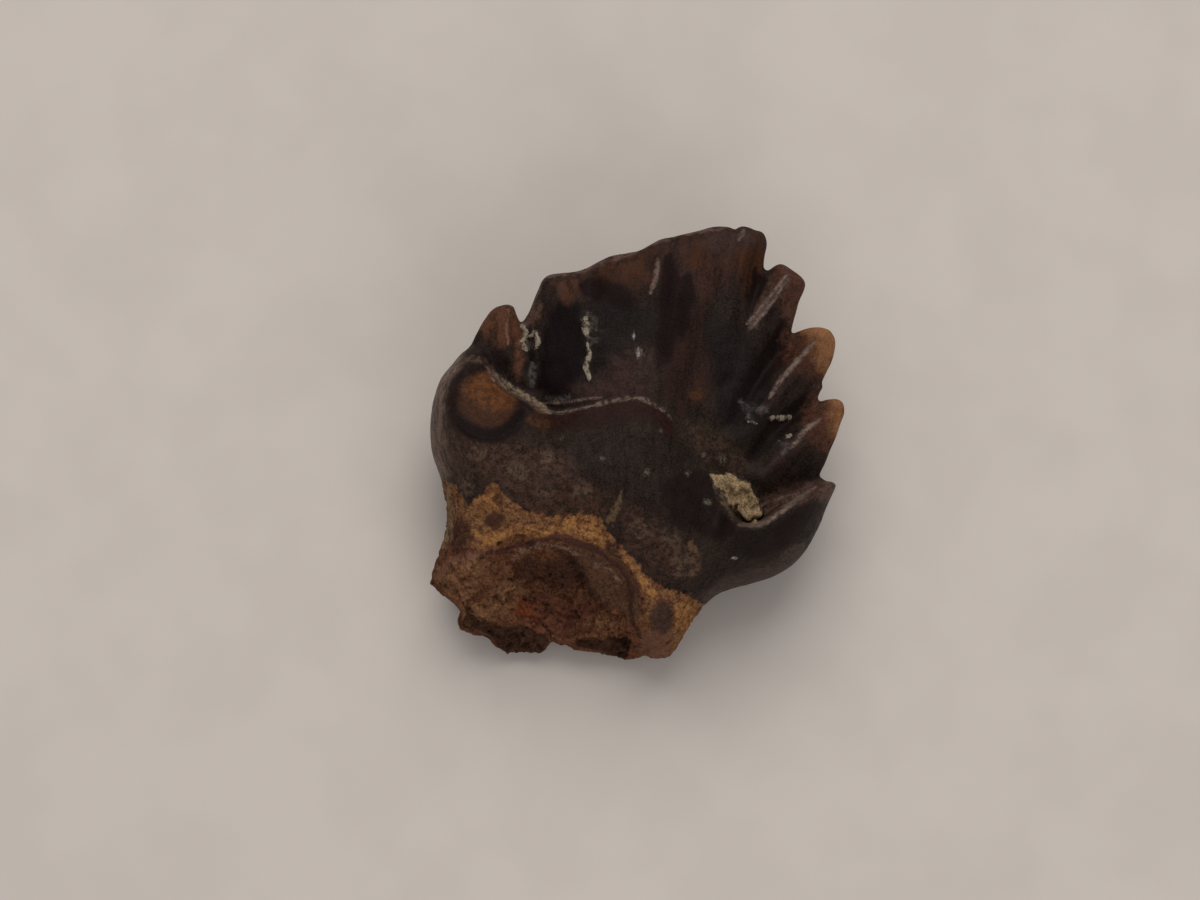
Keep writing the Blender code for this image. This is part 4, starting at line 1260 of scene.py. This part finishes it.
    Layer("base_edge_shade", [base_edge_shade], (30, 18, 14), (82, 57, 42), 0.9, 0.8, noise="patchy", edge=(0.2, 0.8)),
    # Painted highlight along the lip's edge, where it catches the light
    Layer("lip", [stroke([(-3.9, -4.5), (-3.0, -4.52), (-2.45, -4.74), (-1.75, -5.0), (-0.8, -4.97)], 0.11)],
        (86, 54, 39), (124, 82, 60), 0.8, 0.75, wear=0.5),
    Layer("knob", [patch([
        (0.72, -4.8), (1.1, -4.7), (1.5, -4.9), (1.62, -5.4), (1.35, -5.7), (0.7, -5.7), (0.55, -5.2),
    ], 0.15)], (82, 54, 42), (124, 86, 68), 0.9, 0.7, noise="patchy", wear=0.4),
    Layer("facet", [ovals((1.24, -4.36, 0.46, 0.6))],
        (44, 31, 27), (74, 54, 47), 0.9, 0.6, wear=0.4, edge=(0, 0.75)),
    Layer("crevices", [crevices_seen], (38, 23, 17), (58, 36, 27), 0.5, 0.9, noise="fine", ragged=False),
    Layer("holes", [pores_seen],
        (32, 19, 15), (50, 32, 25), 0.6, 0.9, noise="fine", edge=(0.2, 0.9), ragged=False),
    # Pale scratches, smears and lines
    Layer("wedge", [patch([
        (0.08, -0.52), (0.06, -1.0), (-0.16, -1.45), (-0.42, -1.55), (-0.3, -1.2), (-0.08, -0.95),
    ], 0.06)], (68, 52, 38), (104, 84, 62), 0.8, 0.6, wear=0.5),
    Layer("pale_band", [stroke([(4.97, 5.75), (4.43, 5.0), (3.83, 4.27)], 0.14)],
        (70, 56, 50), (98, 82, 74), 0.75, wear=0.2, edge=(0, 1.0)),
    Layer("smears", [
        stroke([(3.55, 2.05), (3.9, 1.85), (4.35, 1.72)], 0.13), stroke([(3.6, 1.62), (3.95, 1.55)], 0.08),
        stroke([(4.7, 0.95), (5.0, 0.7), (4.8, 0.4)], 0.09), stroke([(-2.2, 2.1), (-1.5, 2.16)], 0.08),
        stroke([(-2.66, 3.2), (-2.58, 2.9), (-2.62, 2.5)], 0.15),
    ], (54, 50, 48), (92, 87, 82), 0.7, wear=0.5, edge=(0, 1.2)),
    Layer("pale", [pale_lines, beads],
        (86, 71, 64), (130, 111, 100), 0.85, 0.5, edge=(0, 1.1), ragged=False),
    Layer("lip_line", [stroke([
        (-3.78, 2.88), (-3.5, 2.6), (-3.18, 2.4), (-2.71, 2.14), (-2.4, 1.9), (-2.12, 1.76),
    ], 0.105)], (96, 79, 62), (144, 128, 106), 0.85, 0.7, wear=0.7, edge=(0.1, 1.0)),
    Layer("dimple_lip", [stroke([(-4.8, 3.3), (-4.35, 3.3), (-3.98, 3.2), (-3.76, 2.92)], 0.12)],
        (70, 52, 44), (104, 82, 70), 0.5, wear=0.5, edge=(0, 1.2)),
    # Sediment and specks
    Layer("crust_halo", [
        stroke([(-0.95, 4.65), (-0.85, 4.2), (-0.9, 3.7)], 0.26), stroke([(-2.8, 4.4), (-2.66, 3.7)], 0.22),
    ], (50, 43, 39), (84, 75, 67), 0.6, wear=0.8, edge=(0, 1.2)),
    Layer("crust", [crust_cover], (92, 82, 69), (160, 148, 128), 0.95, 0.85, wear=0.5, edge=(0.15, 0.9)),
    Layer("crumb_foot", [stroke([(2.8, -0.45), (3.05, -0.75), (3.35, -1.2), (3.75, -1.6)], 0.2)],
        (72, 58, 48), (106, 89, 73), 0.75, 0.8, wear=0.5, edge=(0, 1.1)),
    Layer("crumb", [crumb_cover], (92, 73, 51), (170, 146, 112), 1.0, 0.9, edge=(0.2, 0.7)),
    Layer("specks", [ovals(
        (0.8, -0.02, 0.15, 0.14), (2.0, -0.1, 0.12, 0.1), (2.61, -0.93, 0.13, 0.13), (2.45, 0.45, 0.12, 0.1),
        (1.2, 1.15, 0.1, 0.08), (-0.55, 0.3, 0.1, 0.09), (3.05, 0.35, 0.13, 0.1), (-1.75, 0.95, 0.1, 0.08),
        (1.75, 3.85, 0.16, 0.07),
    )], (70, 64, 54), (104, 98, 84), 0.7, 0.6, noise="fine", edge=(0, 1.1)),
    Layer("dots", [ovals((0.42, 3.95, 0.09, 0.09), (0.58, 3.46, 0.14, 0.13), (3.39, -2.58, 0.08, 0.08))],
        (120, 112, 104), (160, 150, 140), 0.9, 0.6, noise="fine", wear=0.1, ragged=False),
]


move = build_tooth()
add_camera(move)
add_floor()
add_lamp("key", **KEY_LAMP)
add_lamp("fill", **FILL_LAMP)
add_world()
bpy.context.scene.view_settings.view_transform = "Standard"
